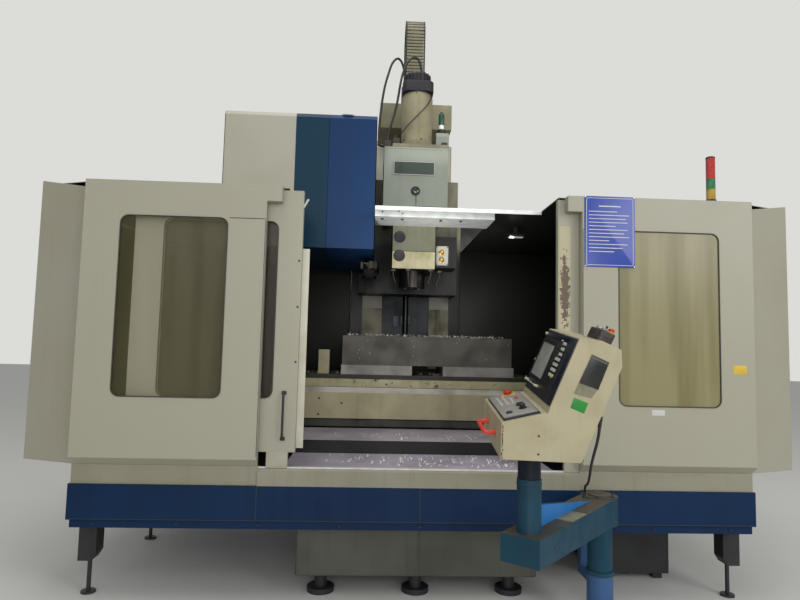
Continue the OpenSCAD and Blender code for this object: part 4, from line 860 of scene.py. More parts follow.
# the lowest segments take a darker olive colour
for side, name in sideNames:
    leaves = [(shape, shutterOlive if k < column["oliveBelow"] else shutterPale)
              for k, shape in enumerate(shutterSide(side))]
    makePiece("wayShutter" + name, leaves, "machine", ["column_way_covers"])
dress("column_panel", columnBlue)
blocks = [onFront(slab(w, h, 0.018, 0.003, 0.002), x, z, column["blockY"]) for w, h, x, z in column["blocks"]]
makePiece("columnBlocks", [(joined(blocks), slateMoulding)], "machine")
softened("drive_motors", "driveMotors", 0.004, motorDark)
dress("ball_screws", oilyBlack)
print("stage: column")


# Tool changer: folded covers with a sloped top front edge
changer = {"front": -0.620, "back": 0.560, "low": 2.092, "high": 3.015, "slope": 0.031, "sheet": 0.004,
           "left": -1.325, "seam": -0.846, "panelSeam": -0.622, "right": -0.298, "gap": 0.001,
           "screws": ((-0.681, 2.744), (-0.673, 2.325)), "vent": (-0.500, -0.560, 3.015)}


def foldedBand(x0, x1):
    # sheet folded round in Y and Z with the top front corner cut off, run from x0 to x1
    f, b, l, h, c, t = (changer[key] for key in ("front", "back", "low", "high", "slope", "sheet"))
    outer = np.array([(f, l), (f, h - c), (f + c * 0.8, h), (b, h), (b, l)])
    inner = np.array([(f + t, l + t), (f + t, h - c - t / 2), (f + c * 0.8 + t / 2, h - t), (b - t, h - t),
                      (b - t, l + t)])
    loop = np.stack([outer, inner], axis=1)
    low = np.concatenate([np.full((5, 2, 1), x0), loop], axis=2)
    high = np.concatenate([np.full((5, 2, 1), x1), loop], axis=2)
    rings = np.stack([low[:, 0], high[:, 0], high[:, 1], low[:, 1]], axis=1)
    return rings.reshape(-1, 3), ringFaces(5, 4, closed=True)


def endPlate(x):
    # side sheet with the same cut-off corner
    f, b, l, h, c = (changer[key] for key in ("front", "back", "low", "high", "slope"))
    outline = np.array([(b, l), (b, h), (f + c * 0.8, h), (f, h - c), (f, l)])[::-1]
    return moved(plate(outline, changer["sheet"]), (x, 0, 0), (0, 1, 0), frontZ)


def makeChanger():
    # the cream housing on the left, and the cover of a teal and a blue sheet on the right, with thin gaps
    left, seam, mid, right, gap = (changer[key] for key in ("left", "seam", "panelSeam", "right", "gap"))
    housing = [(foldedBand(left, seam - gap), coatEnamel), (endPlate(left), coatEnamel)]
    makePiece("changerHousing", housing, "machine", ["drum_housing"], angle=20)
    cover = [(foldedBand(seam, mid - gap), changerTeal), (foldedBand(mid + gap, right), changerBlue),
             (endPlate(right - changer["sheet"]), changerBlue)]
    makePiece("changerCover", cover, "machine", ["changer_cover"], angle=20)
    screws = [onFront(screwHead(0.007, 0.003), x, z, changer["front"]) for x, z in changer["screws"]]
    makePiece("changerScrews", [(joined(screws), darkEnamel)], "machine")
    dome = turned([(0.055, 0), (0.055, 0.004), (0.050, 0.010), (0.034, 0.016), (0.014, 0.019),
                   (0.002, 0.020)], 28)
    makePiece("changerVent", [(moved(dome, changer["vent"]), paleLabel)], "machine")


makeChanger()
dress("changer_frame", darkEnamel)
dress("tool_drum", groundSteel)
softened("change_arm", "changeArm", 0.003, oilySteel)
print("stage: tool changer")


# Head: casting, hood with its rusty lip, the two covers over the spindle, round vents
head = {"front": -0.200, "lipX": (-0.246, 0.236), "lipZ": 2.474, "lipSag": 0.003, "coverFront": -0.180,
        "coverX": -0.002, "coverWide": 0.318, "coverZ": ((2.026, 2.154), (2.158, 2.452)), "ventX": -0.110,
        "ventZ": (2.261, 2.121), "slotPitch": 0.018}


def makeHead():
    # the lip is a bar along X whose height sags by a sine of its place
    softened("head_casting", "headCasting", 0.006, headCastEnamel)
    softened("head_hood", "headHood", 0.005, headEnamel)
    sag = head["lipSag"] * np.sin(np.linspace(0, 3.1, 13) * 2.3)
    lipPath = np.stack([np.linspace(*head["lipX"], 13), np.full(13, head["front"] - 0.007),
                        head["lipZ"] - sag], axis=1)
    lip = carried(roundOutline(0.034, 0.010, 0.003, 4)[:, ::-1], lipPath, frontZ)
    makePiece("hoodLip", [(lip, rustyEdge)], "head")
    covers = [onFront(slab(head["coverWide"], high - low, 0.003, 0.004, 0.001), head["coverX"],
                      (low + high) / 2,
                      head["coverFront"]) for low, high in head["coverZ"]]
    makePiece("spindleCovers", list(zip(covers, (lowerCream, upperGreen))), "head")
    rim = turned([(0.044, 0), (0.044, 0.003), (0.041, 0.0045), (0.037, 0.003), (0.002, 0.0025)], 32)
    slot = slab(0.060, 0.004, 0.0045, 0.0015, 0.001)
    y = head["coverFront"] - 0.003
    vents = []
    for z in head["ventZ"]:
        vents.append(onFront(rim, head["ventX"], z, y))
        vents += [onFront(slot, head["ventX"], z + k * head["slotPitch"], y) for k in (-1, 0, 1)]
    makePiece("headVents", [(joined(vents), blackMoulding)], "head")


makeHead()


# Fittings of the head: name plate left bare, sight glass, switch plate, connectors, air filter
fittings = {
    "plateSize": (0.313, 0.107),
    "plateAt": (-0.0135, 2.7825),
    "rimSize": (0.480, 0.010),
    "rimZ": 2.936,
    "glass": (0.0, 2.610),
    "switchSize": (0.095, 0.148),
    "switchAt": (0.2195, 2.142),
    "switchFront": -0.090,
    "knobs": ((0.215, 2.110), (0.215, 2.168)),
    "screws": (0.040, 0.066),
    "top": 2.975,
    "filter": (0.206, -0.010, 2.975),
    "dripAt": (0.004, 2.545),
}


def tubeAlong(points, across, parts=5, sides=14):
    # round tube through the points
    return carried(circle(across / 2, sides), smoothed(points, parts))


def blockShape(low, high, edge=0.003):
    # round-edged block between two corners
    low, high = np.array(low, float), np.array(high, float)
    size = high - low
    body = slab(size[0], size[1], size[2] - edge, edge * 1.5, edge)
    return moved(body, ((low[0] + high[0]) / 2, (low[1] + high[1]) / 2, low[2]))


def frontFittings():
    # what stands on the hood's front and beside the spindle covers
    y, deep = head["front"], fittings["switchFront"] - 0.010
    w, h = fittings["plateSize"]
    ring = turned([(0.034, 0), (0.034, 0.006), (0.030, 0.010), (0.025, 0.010), (0.022, 0.005),
                   (0.002, 0.004)], 32)
    lens = turned([(0.024, 0.004), (0.018, 0.0065), (0.010, 0.0075), (0.002, 0.008)], 24)
    knob = turned([(0.020, 0), (0.020, 0.004), (0.014, 0.006), (0.014, 0.017), (0.010, 0.021),
                   (0.002, 0.021)], 24)
    x, z = fittings["switchAt"]
    acrossHalf, upHalf = fittings["screws"]
    corners = [onFront(screwHead(0.005, 0.003), x + i * acrossHalf, z + k * upHalf, deep)
               for i in (-1, 1) for k in (-1, 1)]
    return [(onFront(slab(w, h, 0.003, 0.004, 0.0008), *fittings["plateAt"], y), plateGreen),
            (onFront(ringPlate(w - 0.004, h - 0.004, 0.004, 0.0045, 0.0016), *fittings["plateAt"],
                     y - 0.003), paleLabel),
            (onFront(slab(*fittings["rimSize"], 0.003, 0.004, 0.001), 0, fittings["rimZ"], y), headEnamel),
            (onFront(ring, *fittings["glass"], y), darkEnamel),
            (onFront(lens, *fittings["glass"], y), oilGlass),
            (onFront(slab(*fittings["switchSize"], 0.010, 0.006, 0.002), x, z, fittings["switchFront"]),
             whiteStrip),
            (joined([onFront(knob, *at, deep) for at in fittings["knobs"]]), brassMetal),
            (joined(corners), darkEnamel)]


def topFittings():
    # connector boxes with a cable gland each; air filter of a box, black base, steel bowl and green body
    top = fittings["top"]
    gland = turned([(0.016, 0), (0.016, 0.010), (0.013, 0.013), (0.013, 0.030), (0.010, 0.034)], 12)
    elbow = tubeAlong([(-0.238, -0.020, top + 0.035), (-0.262, -0.020, top + 0.035),
                       (-0.279, -0.020, top + 0.040),
                       (-0.284, -0.020, top + 0.055), (-0.284, -0.020, top + 0.072)], 0.024)
    base = turned([(0.030, 0.145), (0.034, 0.150), (0.034, 0.176), (0.024, 0.182)], 28)
    bowl = turned([(0.019, 0.176), (0.021, 0.186), (0.021, 0.214), (0.017, 0.222)], 28)
    body = turned([(0.019, 0.214), (0.023, 0.222), (0.023, 0.300), (0.018, 0.310)], 28)
    nipple = turned([(0.010, 0.300), (0.010, 0.322), (0.007, 0.325)], 16)
    place = fittings["filter"]
    ribs = [moved(slab(0.004, 0.050, 0.070, 0.001, 0.001), (place[0] + 0.012 * i, place[1], top + 0.226))
            for i in (-1, 1)]
    return [(blockShape((-0.240, -0.060, top - 0.030), (-0.185, 0.020, top + 0.070)), brownConnector),
            (blockShape((-0.175, -0.060, top), (-0.120, 0.020, top + 0.092)), brownConnector),
            (moved(gland, (-0.216, -0.020, top + 0.066)), blackMoulding),
            (moved(gland, (-0.150, -0.020, top + 0.086)), blackMoulding),
            (elbow, brownConnector),
            (blockShape((0.160, -0.060, top), (0.262, 0.040, top + 0.145), 0.005), headEnamel),
            (moved(base, place), blackMoulding), (moved(bowl, place), zincSheet),
            (moved(body, place), greenBody), (moved(nipple, place), blackMoulding),
            (joined(ribs), greenBody),
            (blockShape((0.205, -0.078, top), (0.249, -0.052, top + 0.062)), brownConnector)]


makePiece("headFittings", frontFittings() + topFittings(), "head", ["head_fittings"])
drip = onFront(slab(0.012, 0.110, 0.0006, 0.004, 0.0002), *fittings["dripAt"], head["front"])
makePiece("oilDrip", [(drip, oilTrace)], "head")


# Spindle motor: round body with a flared foot, dark flange and fan cap, terminal box and bolts
motor = {"x": 0.012, "foot": 2.975, "radius": 0.1205, "flange": 3.425, "cap": 3.508, "footRadius": 0.1255,
         "finRing": 0.094, "finZ": 3.512, "boltRing": 0.113, "boltZ": 3.400, "footRing": 0.1215,
         "footZ": 3.036}


def around(shape, centre, radius, angles):
    # copies of a shape at the given angles round an upright axis
    return [moved(shape, (centre[0] + radius * math.cos(a), centre[1] + radius * math.sin(a), centre[2]))
            for a in angles]


def makeMotor():
    # fins stand out from the cap along its radius; the bolts of the flange and the foot lie on rings
    x, r, ring = motor["x"], motor["radius"], motor["finRing"]
    body = turned([(motor["footRadius"], motor["foot"]), (motor["footRadius"], 3.030), (0.1215, 3.042),
                   (r, 3.060),
                   (r, 3.395), (0.117, 3.414), (0.108, motor["flange"])], 48)
    flange = plate(roundOutline(0.241, 0.241, 0.050, 8), 0.083, 0.006)
    cap = turned([(0.0965, 0), (0.0965, 0.070), (0.088, 0.082), (0.060, 0.084), (0.002, 0.084)], 40)
    step = turned([(0.112, 0), (0.118, 0.004), (0.118, 0.016), (0.106, 0.024)], 40)
    fin = slab(0.006, 0.020, 0.074, 0.002, 0.001)
    fins = [moved(fin, (x + ring * math.cos(a), ring * math.sin(a), motor["finZ"]),
                  (math.sin(a), -math.cos(a), 0), (math.cos(a), math.sin(a), 0))
            for a in np.linspace(0, 2 * np.pi, 18, endpoint=False)]
    bolts = around(hexHead(0.016, 0.008), (x, 0, motor["boltZ"]), motor["boltRing"],
                   np.linspace(0.4, 0.4 + 2 * np.pi, 6, endpoint=False))
    feet = around(hexHead(0.014, 0.009), (x, 0, motor["footZ"]), motor["footRing"], np.linspace(0.3, 6.1, 6))
    parts = [(moved(body, (x, 0, 0)), motorEnamel), (moved(flange, (x, 0, motor["flange"])), motorDark),
             (moved(step, (x, 0, motor["flange"] - 0.010)), motorDark),
             (moved(cap, (x, 0, motor["cap"])), motorDark),
             (joined(fins), motorDark),
             (blockShape((-0.098, 0.090, 3.440), (0.076, 0.178, 3.556), 0.006), motorDark),
             (blockShape((-0.101, 0.087, 3.550), (0.079, 0.181, 3.562), 0.004), motorDark),
             (joined(bolts), darkEnamel), (joined(feet), darkEnamel)]
    makePiece("spindleMotor", parts, "head", ["spindle_motor"])


makeMotor()
softened("spindle", "spindleNose", 0.002, oilySteel)


# Coolant nozzles round the spindle nose: each leans in by these shares of its place in X and Y
nozzles = {"heads": ((-0.150, -0.120), (-0.040, -0.165), (0.130, -0.150), (0.205, -0.080)), "z": 2.026,
           "leanX": 0.88, "leanY": 0.9, "drop": 0.118}


def makeNozzles():
    # a bent pipe, its tip and the block it hangs from
    z = nozzles["z"]
    tip = turned([(0.009, 0), (0.009, 0.016), (0.004, 0.026)], 12)
    block = slab(0.040, 0.034, 0.016, 0.005, 0.002)
    parts = []
    for x, y in nozzles["heads"]:
        endX, endY = x * nozzles["leanX"], y * nozzles["leanY"]
        pipe = [(x, y, z + 0.004), (x, y, z - 0.030), (x * 0.97, y * 0.97, z - 0.060),
                (endX, endY, z - 0.095)]
        parts += [(tubeAlong(pipe, 0.014), brownConnector),
                  (moved(tip, (endX, endY, z - nozzles["drop"])), oilySteel),
                  (moved(block, (x, y, z), frontX, downY), oilyBlack)]
    makePiece("coolantNozzles", parts, "head")


makeNozzles()


# Energy chain: links with crossbars, bent over the head
chain = {"half": 0.080, "front": 0.184, "radius": 0.170, "thick": 0.070, "centre": 4.050, "pitch": 0.027,
         "low": 2.975, "back": 3.555, "inset": 0.008, "start": (0, 0.254, 4.0), "end": (0, 0.454, 4.0)}


def makeChain():
    # the middle line goes up the front leg, round the half circle and down the rear leg
    centre, half = chain["centre"], chain["half"]
    mid = chain["front"] + chain["radius"]
    r = chain["radius"] - chain["thick"] / 2
    legFront = centre - chain["low"]
    bend = math.pi * r
    total = legFront + bend + centre - chain["back"]
    count = int(total / chain["pitch"])
    s = (np.arange(count) + 0.5) * total / count
    turn = np.clip((s - legFront) / r, 0, math.pi)
    y = mid - r * np.cos(turn)
    down = np.where(s > legFront + bend, centre - (s - legFront - bend), centre + r * np.sin(turn))
    z = np.where(s < legFront, chain["low"] + s, down)
    bar = slab(2 * half - 0.016, 0.019, 0.006, 0.003, 0.0015)
    link = slab(0.026, chain["thick"], 0.008, 0.008, 0.001)
    face = chain["thick"] / 2 - chain["inset"]
    bars = []
    links = []
    for k in range(count):
        along = (0.0, float(np.sin(turn[k])), float(np.cos(turn[k])))
        at = np.array((0.0, float(y[k]), float(z[k])))
        outward = np.array((0.0, -along[2], along[1]))
        bars += [moved(bar, at + outward * face * sign, (sign, 0, 0), along) for sign in (1, -1)]
        links += [moved(link, at + np.array((side * (half - chain["inset"]), 0, 0)), along,
                        np.cross((side, 0, 0), along))
                  for side in (-1, 1)]
    piece = buildPiece("energyChain", [(joined(bars), chainNylon), (joined(links), chainSide)])
    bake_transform(piece)
    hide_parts("energy_chain")


makeChain()
print("stage: head")


# Way covers, saddle, table; the boxes hold the block's feet and the guard's worn upper lip
table = {"feet": ((-0.56, 0.0, 1.20), (0.82, 0.52, 1.298)),
         "lip": ((-1.06, -0.0185, 1.088), (1.06, 0.017, 1.14)),
         "bandSize": (1.998, 0.060), "bandZ": 1.162, "bandY": 0.016, "holeY": -0.019,
         "holes": ((-0.682, 1.045), (-0.512, 1.011), (-0.685, 0.926)),
         "studs": ((-0.470, 0.124), (-0.175, 0.144), (-0.040, 0.124), (0.660, 0.134)), "studZ": 1.524}
softened("front_way_cover", "frontWayCover", 0.002, coverSteel)
softened("middle_way_cover", "middleWayCover", 0.002, coverSteel)
softened("saddle", "saddleCasting", 0.004, sootyCasting)
softened("table", "tableCasting", 0.003, tableSteel)
paintFaces(softened("steel_block", "steelBlock", 0.003, blockSteel), *table["feet"], footSteel)
paintFaces(softened("table_guard", "tableGuard", 0.002, guardPaint), *table["lip"], wornLip)

# Chips: how many, between which corners, and the seed of their places
chips = {
    "front": (110, (-0.55, -1.08, 0.750), (0.60, -0.72, 0.751), 3),
    "middle": (30, (-0.55, -0.59, 0.832), (0.60, -0.37, 0.833), 5),
    "block": (190, (-0.50, 0.03, 1.526), (0.74, 0.40, 1.530), 7),
    "table": (60, (-0.80, 0.03, 1.227), (0.95, 0.20, 1.229), 9),
    "radius": 0.006,
    "turns": 4.5,
}


def scattered(shape, count, low, high, seed, tilt=0.5):
    # copies of a small shape thrown at random over a rectangle of the plane z = low[2]
    rng = np.random.default_rng(seed)
    low, high = np.array(low, float), np.array(high, float)
    places = low + (high - low) * rng.random((count, 3))
    turns = rng.random(count) * 2 * np.pi
    lifts = (rng.random((count, 2)) - 0.5) * tilt
    copies = [moved(shape, places[k], (math.cos(turns[k]), math.sin(turns[k]), lifts[k, 0]),
                    (-math.sin(turns[k]), math.cos(turns[k]), lifts[k, 1])) for k in range(count)]
    return joined(copies)


def curl():
    # a curled chip: a thin strip wound on a short screw line
    r, end = chips["radius"], chips["turns"]
    t = np.linspace(0, end, 12)
    path = np.stack([r * np.cos(t), r * np.sin(t) + 0.001, r * t / end * 2 + 0.001], axis=1)
    return carried(roundOutline(0.0044, 0.0010, 0.0003, 2), path, (0.3, 0.2, 1.0))


for name, body, keys in (("chipsFront", "machine", ("front",)), ("chipsMiddle", "middle_cover", ("middle",)),
                         ("chipsBlock", "table", ("block", "table"))):
    makePiece(name, [(scattered(curl(), *chips[key]), paleChip) for key in keys], body)


def makeTableTrim():
    # dirty cream band on the table's front edge, holes in the guard, nuts and washers on the studs
    band = onFront(slab(*table["bandSize"], 0.003, 0.002, 0.0008), 0, table["bandZ"], table["bandY"])
    holes = [onFront(turned([(0.008, 0), (0.008, 0.001), (0.002, 0.001)], 16), x, z, table["holeY"])
             for x, z in table["holes"]]
    makePiece("tableBand", [(band, bandPaint), (joined(holes), blackMoulding)], "table")
    washer = turned([(0.022, 0), (0.022, 0.003), (0.012, 0.003)], 20)
    studs = []
    for x, y in table["studs"]:
        studs += [moved(hexHead(0.030, 0.016), (x, y, table["studZ"])),
                  moved(washer, (x, y, table["studZ"] - 0.0005))]
    makePiece("studNuts", [(joined(studs), groundSteel)], "table")


makeTableTrim()

# Work light: housing with a pale diffuser, hung from a short arm
lightBody = blockShape((0.676, -0.330, 2.266), (0.795, -0.270, 2.290), 0.004)
diffuser = moved(slab(0.105, 0.046, 0.006, 0.006, 0.002), (0.7355, -0.300, 2.266), frontX, downY)
lightArm = blockShape((0.720, -0.310, 2.288), (0.750, -0.290, 2.346), 0.003)
makePiece("workLight", [(lightBody, darkEnamel), (diffuser, lampGlass), (lightArm, darkEnamel)], "machine",
          ["work_light"])
print("stage: table")


# Control desk, in its own frame: x to its back, y across, z up; slopes run from one (x, z) to another
desk = {"at": (0.220, -2.240, 1.012), "turn": -2.48, "lean": 6.5, "keys": ((0.0, 0.144), (0.163, 0.183)),
        "face": ((0.186, 0.206), (0.294, 0.482)), "top": ((0.386, 0.473), (0.458, 0.441)), "keyPitch": 0.0235,
        "barAlong": 0.041, "pullZ": 0.072, "pullFrom": 0.138, "pullTo": 0.337}
deskFrame = (Matrix.Translation(desk["at"]) @ Matrix.Rotation(math.radians(desk["turn"]), 4, "Z")
             @ Matrix.Rotation(math.radians(desk["lean"]), 4, "X"))


def slopeFrame(start, end):
    # frame on a slanted face of the desk: x along the slope, y across, z out of it
    rise = math.atan2(end[1] - start[1], end[0] - start[0])
    return deskFrame @ Matrix.Translation((start[0], 0, start[1])) @ Matrix.Rotation(-rise, 4, "Y")


def placed(shape, matrix):
    # the shape carried by a matrix
    turn = np.array(matrix.to_3x3())
    return shape[0] @ turn.T + np.array(matrix.translation), shape[1]


def faceSlab(matrix, s0, s1, w0, w1, z0, t, r=0.004, edge=0.001):
    # slab lying on a slanted face, from its limits along and across it
    body = slab(s1 - s0, w1 - w0, t, r, edge)
    return placed(moved(body, ((s0 + s1) / 2, (w0 + w1) / 2, z0)), matrix)


def faceKnob(matrix, profile, place, steps, x=frontX, y=(0, 1, 0)):
    # turned form standing on a face of the desk
    return placed(moved(turned(profile, steps), place, x, y), matrix)


def nearPlate(points, t, out=0.0):
    # plate on the desk's near side, from its corners in x and z
    outline = np.array(points, float) / 1000
    return placed(moved(plate(outline, t, 0.0004), (0, -out, 0), frontX, frontZ), deskFrame)


def screenPlate(face):
    # dark sheet, recessed screen in a bezel, key columns at an even pitch, bar handle
    pitch, along = desk["keyPitch"], desk["barAlong"]
    caps = []
    dots = []
    for row in range(7):
        s = 0.108 + row * pitch
        caps += [faceSlab(face, s, s + 0.013, 0.118 + k * pitch, 0.132 + k * pitch, 0.003, 0.004, 0.002)
                 for k in range(3 if row < 4 else 2)]
        dots += [faceSlab(face, s + 0.002, s + 0.008, w, w + 0.006, 0.003, 0.002, 0.002, 0.0005)
                 for w in (0.200, 0.216)]
    bezel = placed(moved(ringPlate(0.186, 0.226, 0.006, 0.014, 0.004), (0.154, 0.352, 0.003)), face)
    bar = tubeAlong([(along, 0.264, 0.016), (along, 0.330, 0.017), (along, 0.390, 0.017),
                     (along, 0.448, 0.016)], 0.0045)
    foot = [(0.006, 0), (0.006, 0.012), (0.0045, 0.018), (0.002, 0.019)]
    ends = [faceKnob(face, foot, (along, w, 0.003), 16) for w in (0.264, 0.448)]
    corner = faceKnob(face, [(0.006, 0), (0.006, 0.008), (0.004, 0.011), (0.002, 0.011)],
                      (0.272, 0.450, 0.003), 14)
    return [(faceSlab(face, 0.006, 0.291, 0.008, 0.462, 0.0, 0.003), panelDark),
            (faceSlab(face, 0.010, 0.287, 0.010, 0.095, 0.003, 0.0006, 0.002, 0.0002), panelNavy),
            (faceSlab(face, 0.258, 0.286, 0.097, 0.440, 0.003, 0.0006, 0.002, 0.0002), panelNavy),
            (bezel, panelBlack),
            (faceSlab(face, 0.075, 0.233, 0.254, 0.450, 0.003, 0.0012, 0.004, 0.0004), screenGlass),
            (joined(caps), paleKey), (joined(dots), panelBlack),
            (faceSlab(face, 0.104, 0.118, 0.118, 0.136, 0.0072, 0.0008, 0.002, 0.0002), yellowSheet),
            (faceSlab(face, 0.262, 0.268, 0.175, 0.200, 0.0036, 0.0006, 0.001, 0.0002), paleLabel),
            (placed(bar, face), whiteStrip), (joined(ends), whiteStrip), (corner, whiteStrip)]


def keyPlate(keys):
    # raised dark plate: rows of pale keys, two red ones, a knob, a lock, a yellow square
    rows = []
    for s, count in ((0.040, 6), (0.066, 6), (0.092, 4)):
        places = [0.236 + k * 0.027 for k in range(count)]
        rows += [faceSlab(keys, s, s + 0.011, w, w + 0.013, 0.0096, 0.003, 0.002) for w in places]
    redKeys = [faceSlab(keys, 0.118, 0.131, w, w + 0.015, 0.0096, 0.003, 0.002) for w in (0.300, 0.327)]
    knob = [(0.017, 0), (0.017, 0.004), (0.012, 0.006), (0.012, 0.018), (0.009, 0.020), (0.002, 0.020)]
    lock = [(0.013, 0), (0.013, 0.004), (0.010, 0.006), (0.002, 0.006)]
    return [(faceSlab(keys, 0.014, 0.158, 0.026, 0.442, 0.0, 0.009), panelBlack),
            (faceSlab(keys, 0.017, 0.155, 0.030, 0.438, 0.0088, 0.001, 0.003, 0.0004), keyGrey),
            (joined(rows), paleKey), (joined(redKeys), redKnob),
            (faceSlab(keys, 0.074, 0.136, 0.396, 0.436, 0.0096, 0.001, 0.003, 0.0003), yellowSheet),
            (faceKnob(keys, knob, (0.112, 0.120, 0.0095), 20), panelBlack),
            (faceKnob(keys, lock, (0.050, 0.090, 0.0095), 20), panelBlack)]


def pullHandle():
    # orange handle on the operator's side: a bent tube between two mounts
    z, near, far = desk["pullZ"], desk["pullFrom"], desk["pullTo"]
    pull = tubeAlong([(0.0, near, z), (-0.032, near, z), (-0.043, near + 0.008, z), (-0.0445, 0.175, z),
                      (-0.0445, 0.234, z), (-0.0445, 0.300, z), (-0.043, far - 0.008, z), (-0.032, far, z),
                      (0.0, far, z)], 0.018)
    mount = [(0.014, 0), (0.014, 0.004), (0.009, 0.008)]
    mounts = [faceKnob(deskFrame, mount, (0, w, z), 16, frontZ) for w in (near, far)]
    return [(placed(pull, deskFrame), orangeGrip), (joined(mounts), orangeGrip)]


def primerMarks():
    # chips down to black primer along the near front edge, of random length
    rng = np.random.default_rng(11)
    marks = [placed(moved(slab(0.004, 0.006 + 0.014 * rng.random(), 0.0006, 0.0015, 0.0002),
                          (0.004 + 0.003 * rng.random(), 0, z), frontX, frontZ), deskFrame)
             for z in np.linspace(0.008, 0.128, 9)]
    return [(joined(marks), panelBlack)]


def deskSidePieces():
    # near side: louvred vent, grey strip, green sticker, screw holes; far side: two pale knobs
    side = [(nearPlate([(344, 421), (297, 310), (372, 283), (411, 391)], 0.003), panelBlack),
            (nearPlate([(341, 417), (338, 408), (403, 381), (408, 390)], 0.0012, 0.003), greyPlate),
            (nearPlate([(297, 309), (279, 267), (346, 249), (370, 283)], 0.002), ventGrey),
            (nearPlate([(279, 251), (266, 210), (320, 188), (336, 229)], 0.0006), greenLabel)]
    lower = np.array([(297, 310), (372, 283)])
    upper = np.array([(338, 408), (403, 381)])
    for k in range(7):
        a, b = lower + (upper - lower) * (0.12 + 0.115 * k)
        side.append((nearPlate([a + (5, 3), a + (3, -1), b + (-5, -1), b + (-3, 3)], 0.002, 0.003),
                     oilyBlack))
    hole = [(0.0045, 0), (0.0045, 0.001), (0.002, 0.001)]
    holes = [faceKnob(deskFrame, hole, (0.147, 0, z), 12, frontX, frontZ) for z in (0.096, 0.024)]
    side.append((joined(holes), panelBlack))
    makePiece("deskSide", side, "desk")
    knob = [(0.010, 0), (0.010, 0.010), (0.006, 0.016), (0.002, 0.016)]
    far = [faceKnob(deskFrame, knob, (x, 0.470, z), 14, rearX, frontZ)
           for x, z in ((0.240, 0.335), (0.290, 0.455))]
    makePiece("deskFarKnobs", [(joined(far), whiteStrip)], "desk")


def deskControls(keys):
    # mushroom of the stop button, and the feed knob with its pointer
    mushroom = [(0.011, -0.003), (0.011, 0.012), (0.018, 0.0135), (0.020, 0.018), (0.0195, 0.024),
                (0.016, 0.0275),
                (0.008, 0.0285), (0.002, 0.0285)]
    makePiece("stopButton", [(faceKnob(keys, mushroom, (0.105, 0.425, 0.0), 28), redKnob)],
              "emergency_button", ["emergency_button"])
    wheel = turned([(0.017, 0.0095), (0.017, 0.012), (0.013, 0.014), (0.012, 0.020), (0.002, 0.021)], 24)
    pointer = moved(slab(0.028, 0.006, 0.004, 0.002, 0.001), (0, 0, 0.0175))
    knob = moved(joined([wheel, pointer]), (0.112, 0.180, 0))
    makePiece("feedKnob", [(placed(knob, keys), panelBlack)], "feed_knob", ["feed_knob"])


softened("desk_housing", "deskHousing", 0.003, deskEnamel)
softened("desk_swivel", "deskSwivel", 0.002, postDark)
deskKeys = slopeFrame(*desk["keys"])
makePiece("deskPanels",
          screenPlate(slopeFrame(*desk["face"])) + keyPlate(deskKeys) + pullHandle() + primerMarks(),
          "desk", ["desk_panels"])
deskSidePieces()
deskControls(deskKeys)


# Hand-held pulse unit on the desk's top: rounded case, dial with a knurled rim, red button on a yellow ring
pulse = {"across": 0.060, "caseAt": (0.026, 0.070, 0.0), "buttonAt": (0.040, 0.022, 0),
         "wheelAt": (0.026, 0.090, 0),
         "crankAt": (0.041, 0.090, 0), "knurls": 40, "knurlDeep": 0.0005, "sides": 160}


def makeHandwheel():
    # the rim's radius waves as a cosine, once for each knurl
    top = slopeFrame(*desk["top"]) @ Matrix.Translation((0, pulse["across"], 0))
    case = moved(slab(0.064, 0.140, 0.046, 0.012, 0.006), pulse["caseAt"])
    ring = faceKnob(top, [(0.013, 0.046), (0.013, 0.050), (0.009, 0.051)], pulse["buttonAt"], 20)
    red = faceKnob(top, [(0.007, 0.050), (0.012, 0.052), (0.012, 0.060), (0.008, 0.064), (0.002, 0.064)],
                   pulse["buttonAt"], 20)
    belt = moved(ringPlate(0.065, 0.141, 0.012, 0.002, 0.003), np.array(pulse["caseAt"]) + (0, 0, 0.020))
    makePiece("pulseUnit", [(placed(case, top), brownMoulding), (ring, yellowSheet), (red, redKnob),
                            (placed(belt, top), panelBlack)], "desk", ["handwheel_unit"])
    angle = np.linspace(0, 2 * np.pi, pulse["sides"], endpoint=False)
    wave = pulse["knurlDeep"] * np.cos(pulse["knurls"] * angle)
    radii = np.array([0.0235, 0.0245, 0.0245, 0.0225, 0.018])
    heights = np.array([0.0463, 0.0475, 0.0565, 0.0582, 0.0578])
    rings = np.stack([(radii[:, None] + wave) * np.cos(angle), (radii[:, None] + wave) * np.sin(angle),
                      np.broadcast_to(heights[:, None], (5, pulse["sides"]))], axis=2)
    wheel = placed(moved(stacked(rings), pulse["wheelAt"]), top)
    crank = faceKnob(top,
                     [(0.004, 0.0575), (0.003, 0.062), (0.0045, 0.066), (0.0045, 0.0705), (0.002, 0.072)],
                     pulse["crankAt"], 16)
    makePiece("handwheelDial", [(wheel, turnedAlu), (crank, panelBlack)], "handwheel_dial",
              ["handwheel_dial"])


makeHandwheel()
print("stage: desk")


# Swing arm and pedestal: the arm runs level from the pivot to the post
arm = {"pivot": (0.955, -1.350), "post": (0.396, -2.006), "top": 0.668, "capZ": 0.672, "collarZ": 0.868,
       "holeZ": 0.602, "webHalf": 0.005, "gland": (0.857, -1.395, 0.668), "sleeveTop": (0.624, -2.219, 1.184)}


def cableSleeve():
    # tapered rubber sleeve round the cable where it leaves the desk's gland
    start = np.array(arm["sleeveTop"])
    path = start - np.array([(0, 0, 0), (0, 0, 0.012), (-0.0005, -0.003, 0.028), (-0.001, -0.008, 0.046)])
    radius = np.array([0.011, 0.0105, 0.0085, 0.0070])
    angle = np.linspace(0, 2 * np.pi, 16, endpoint=False)
    rings = np.stack([path[:, :1] + radius[:, None] * np.cos(angle),
                      path[:, 1:2] + radius[:, None] * np.sin(angle),
                      np.broadcast_to(path[:, 2:], (4, 16))], axis=2)
    return stacked(rings[::-1])


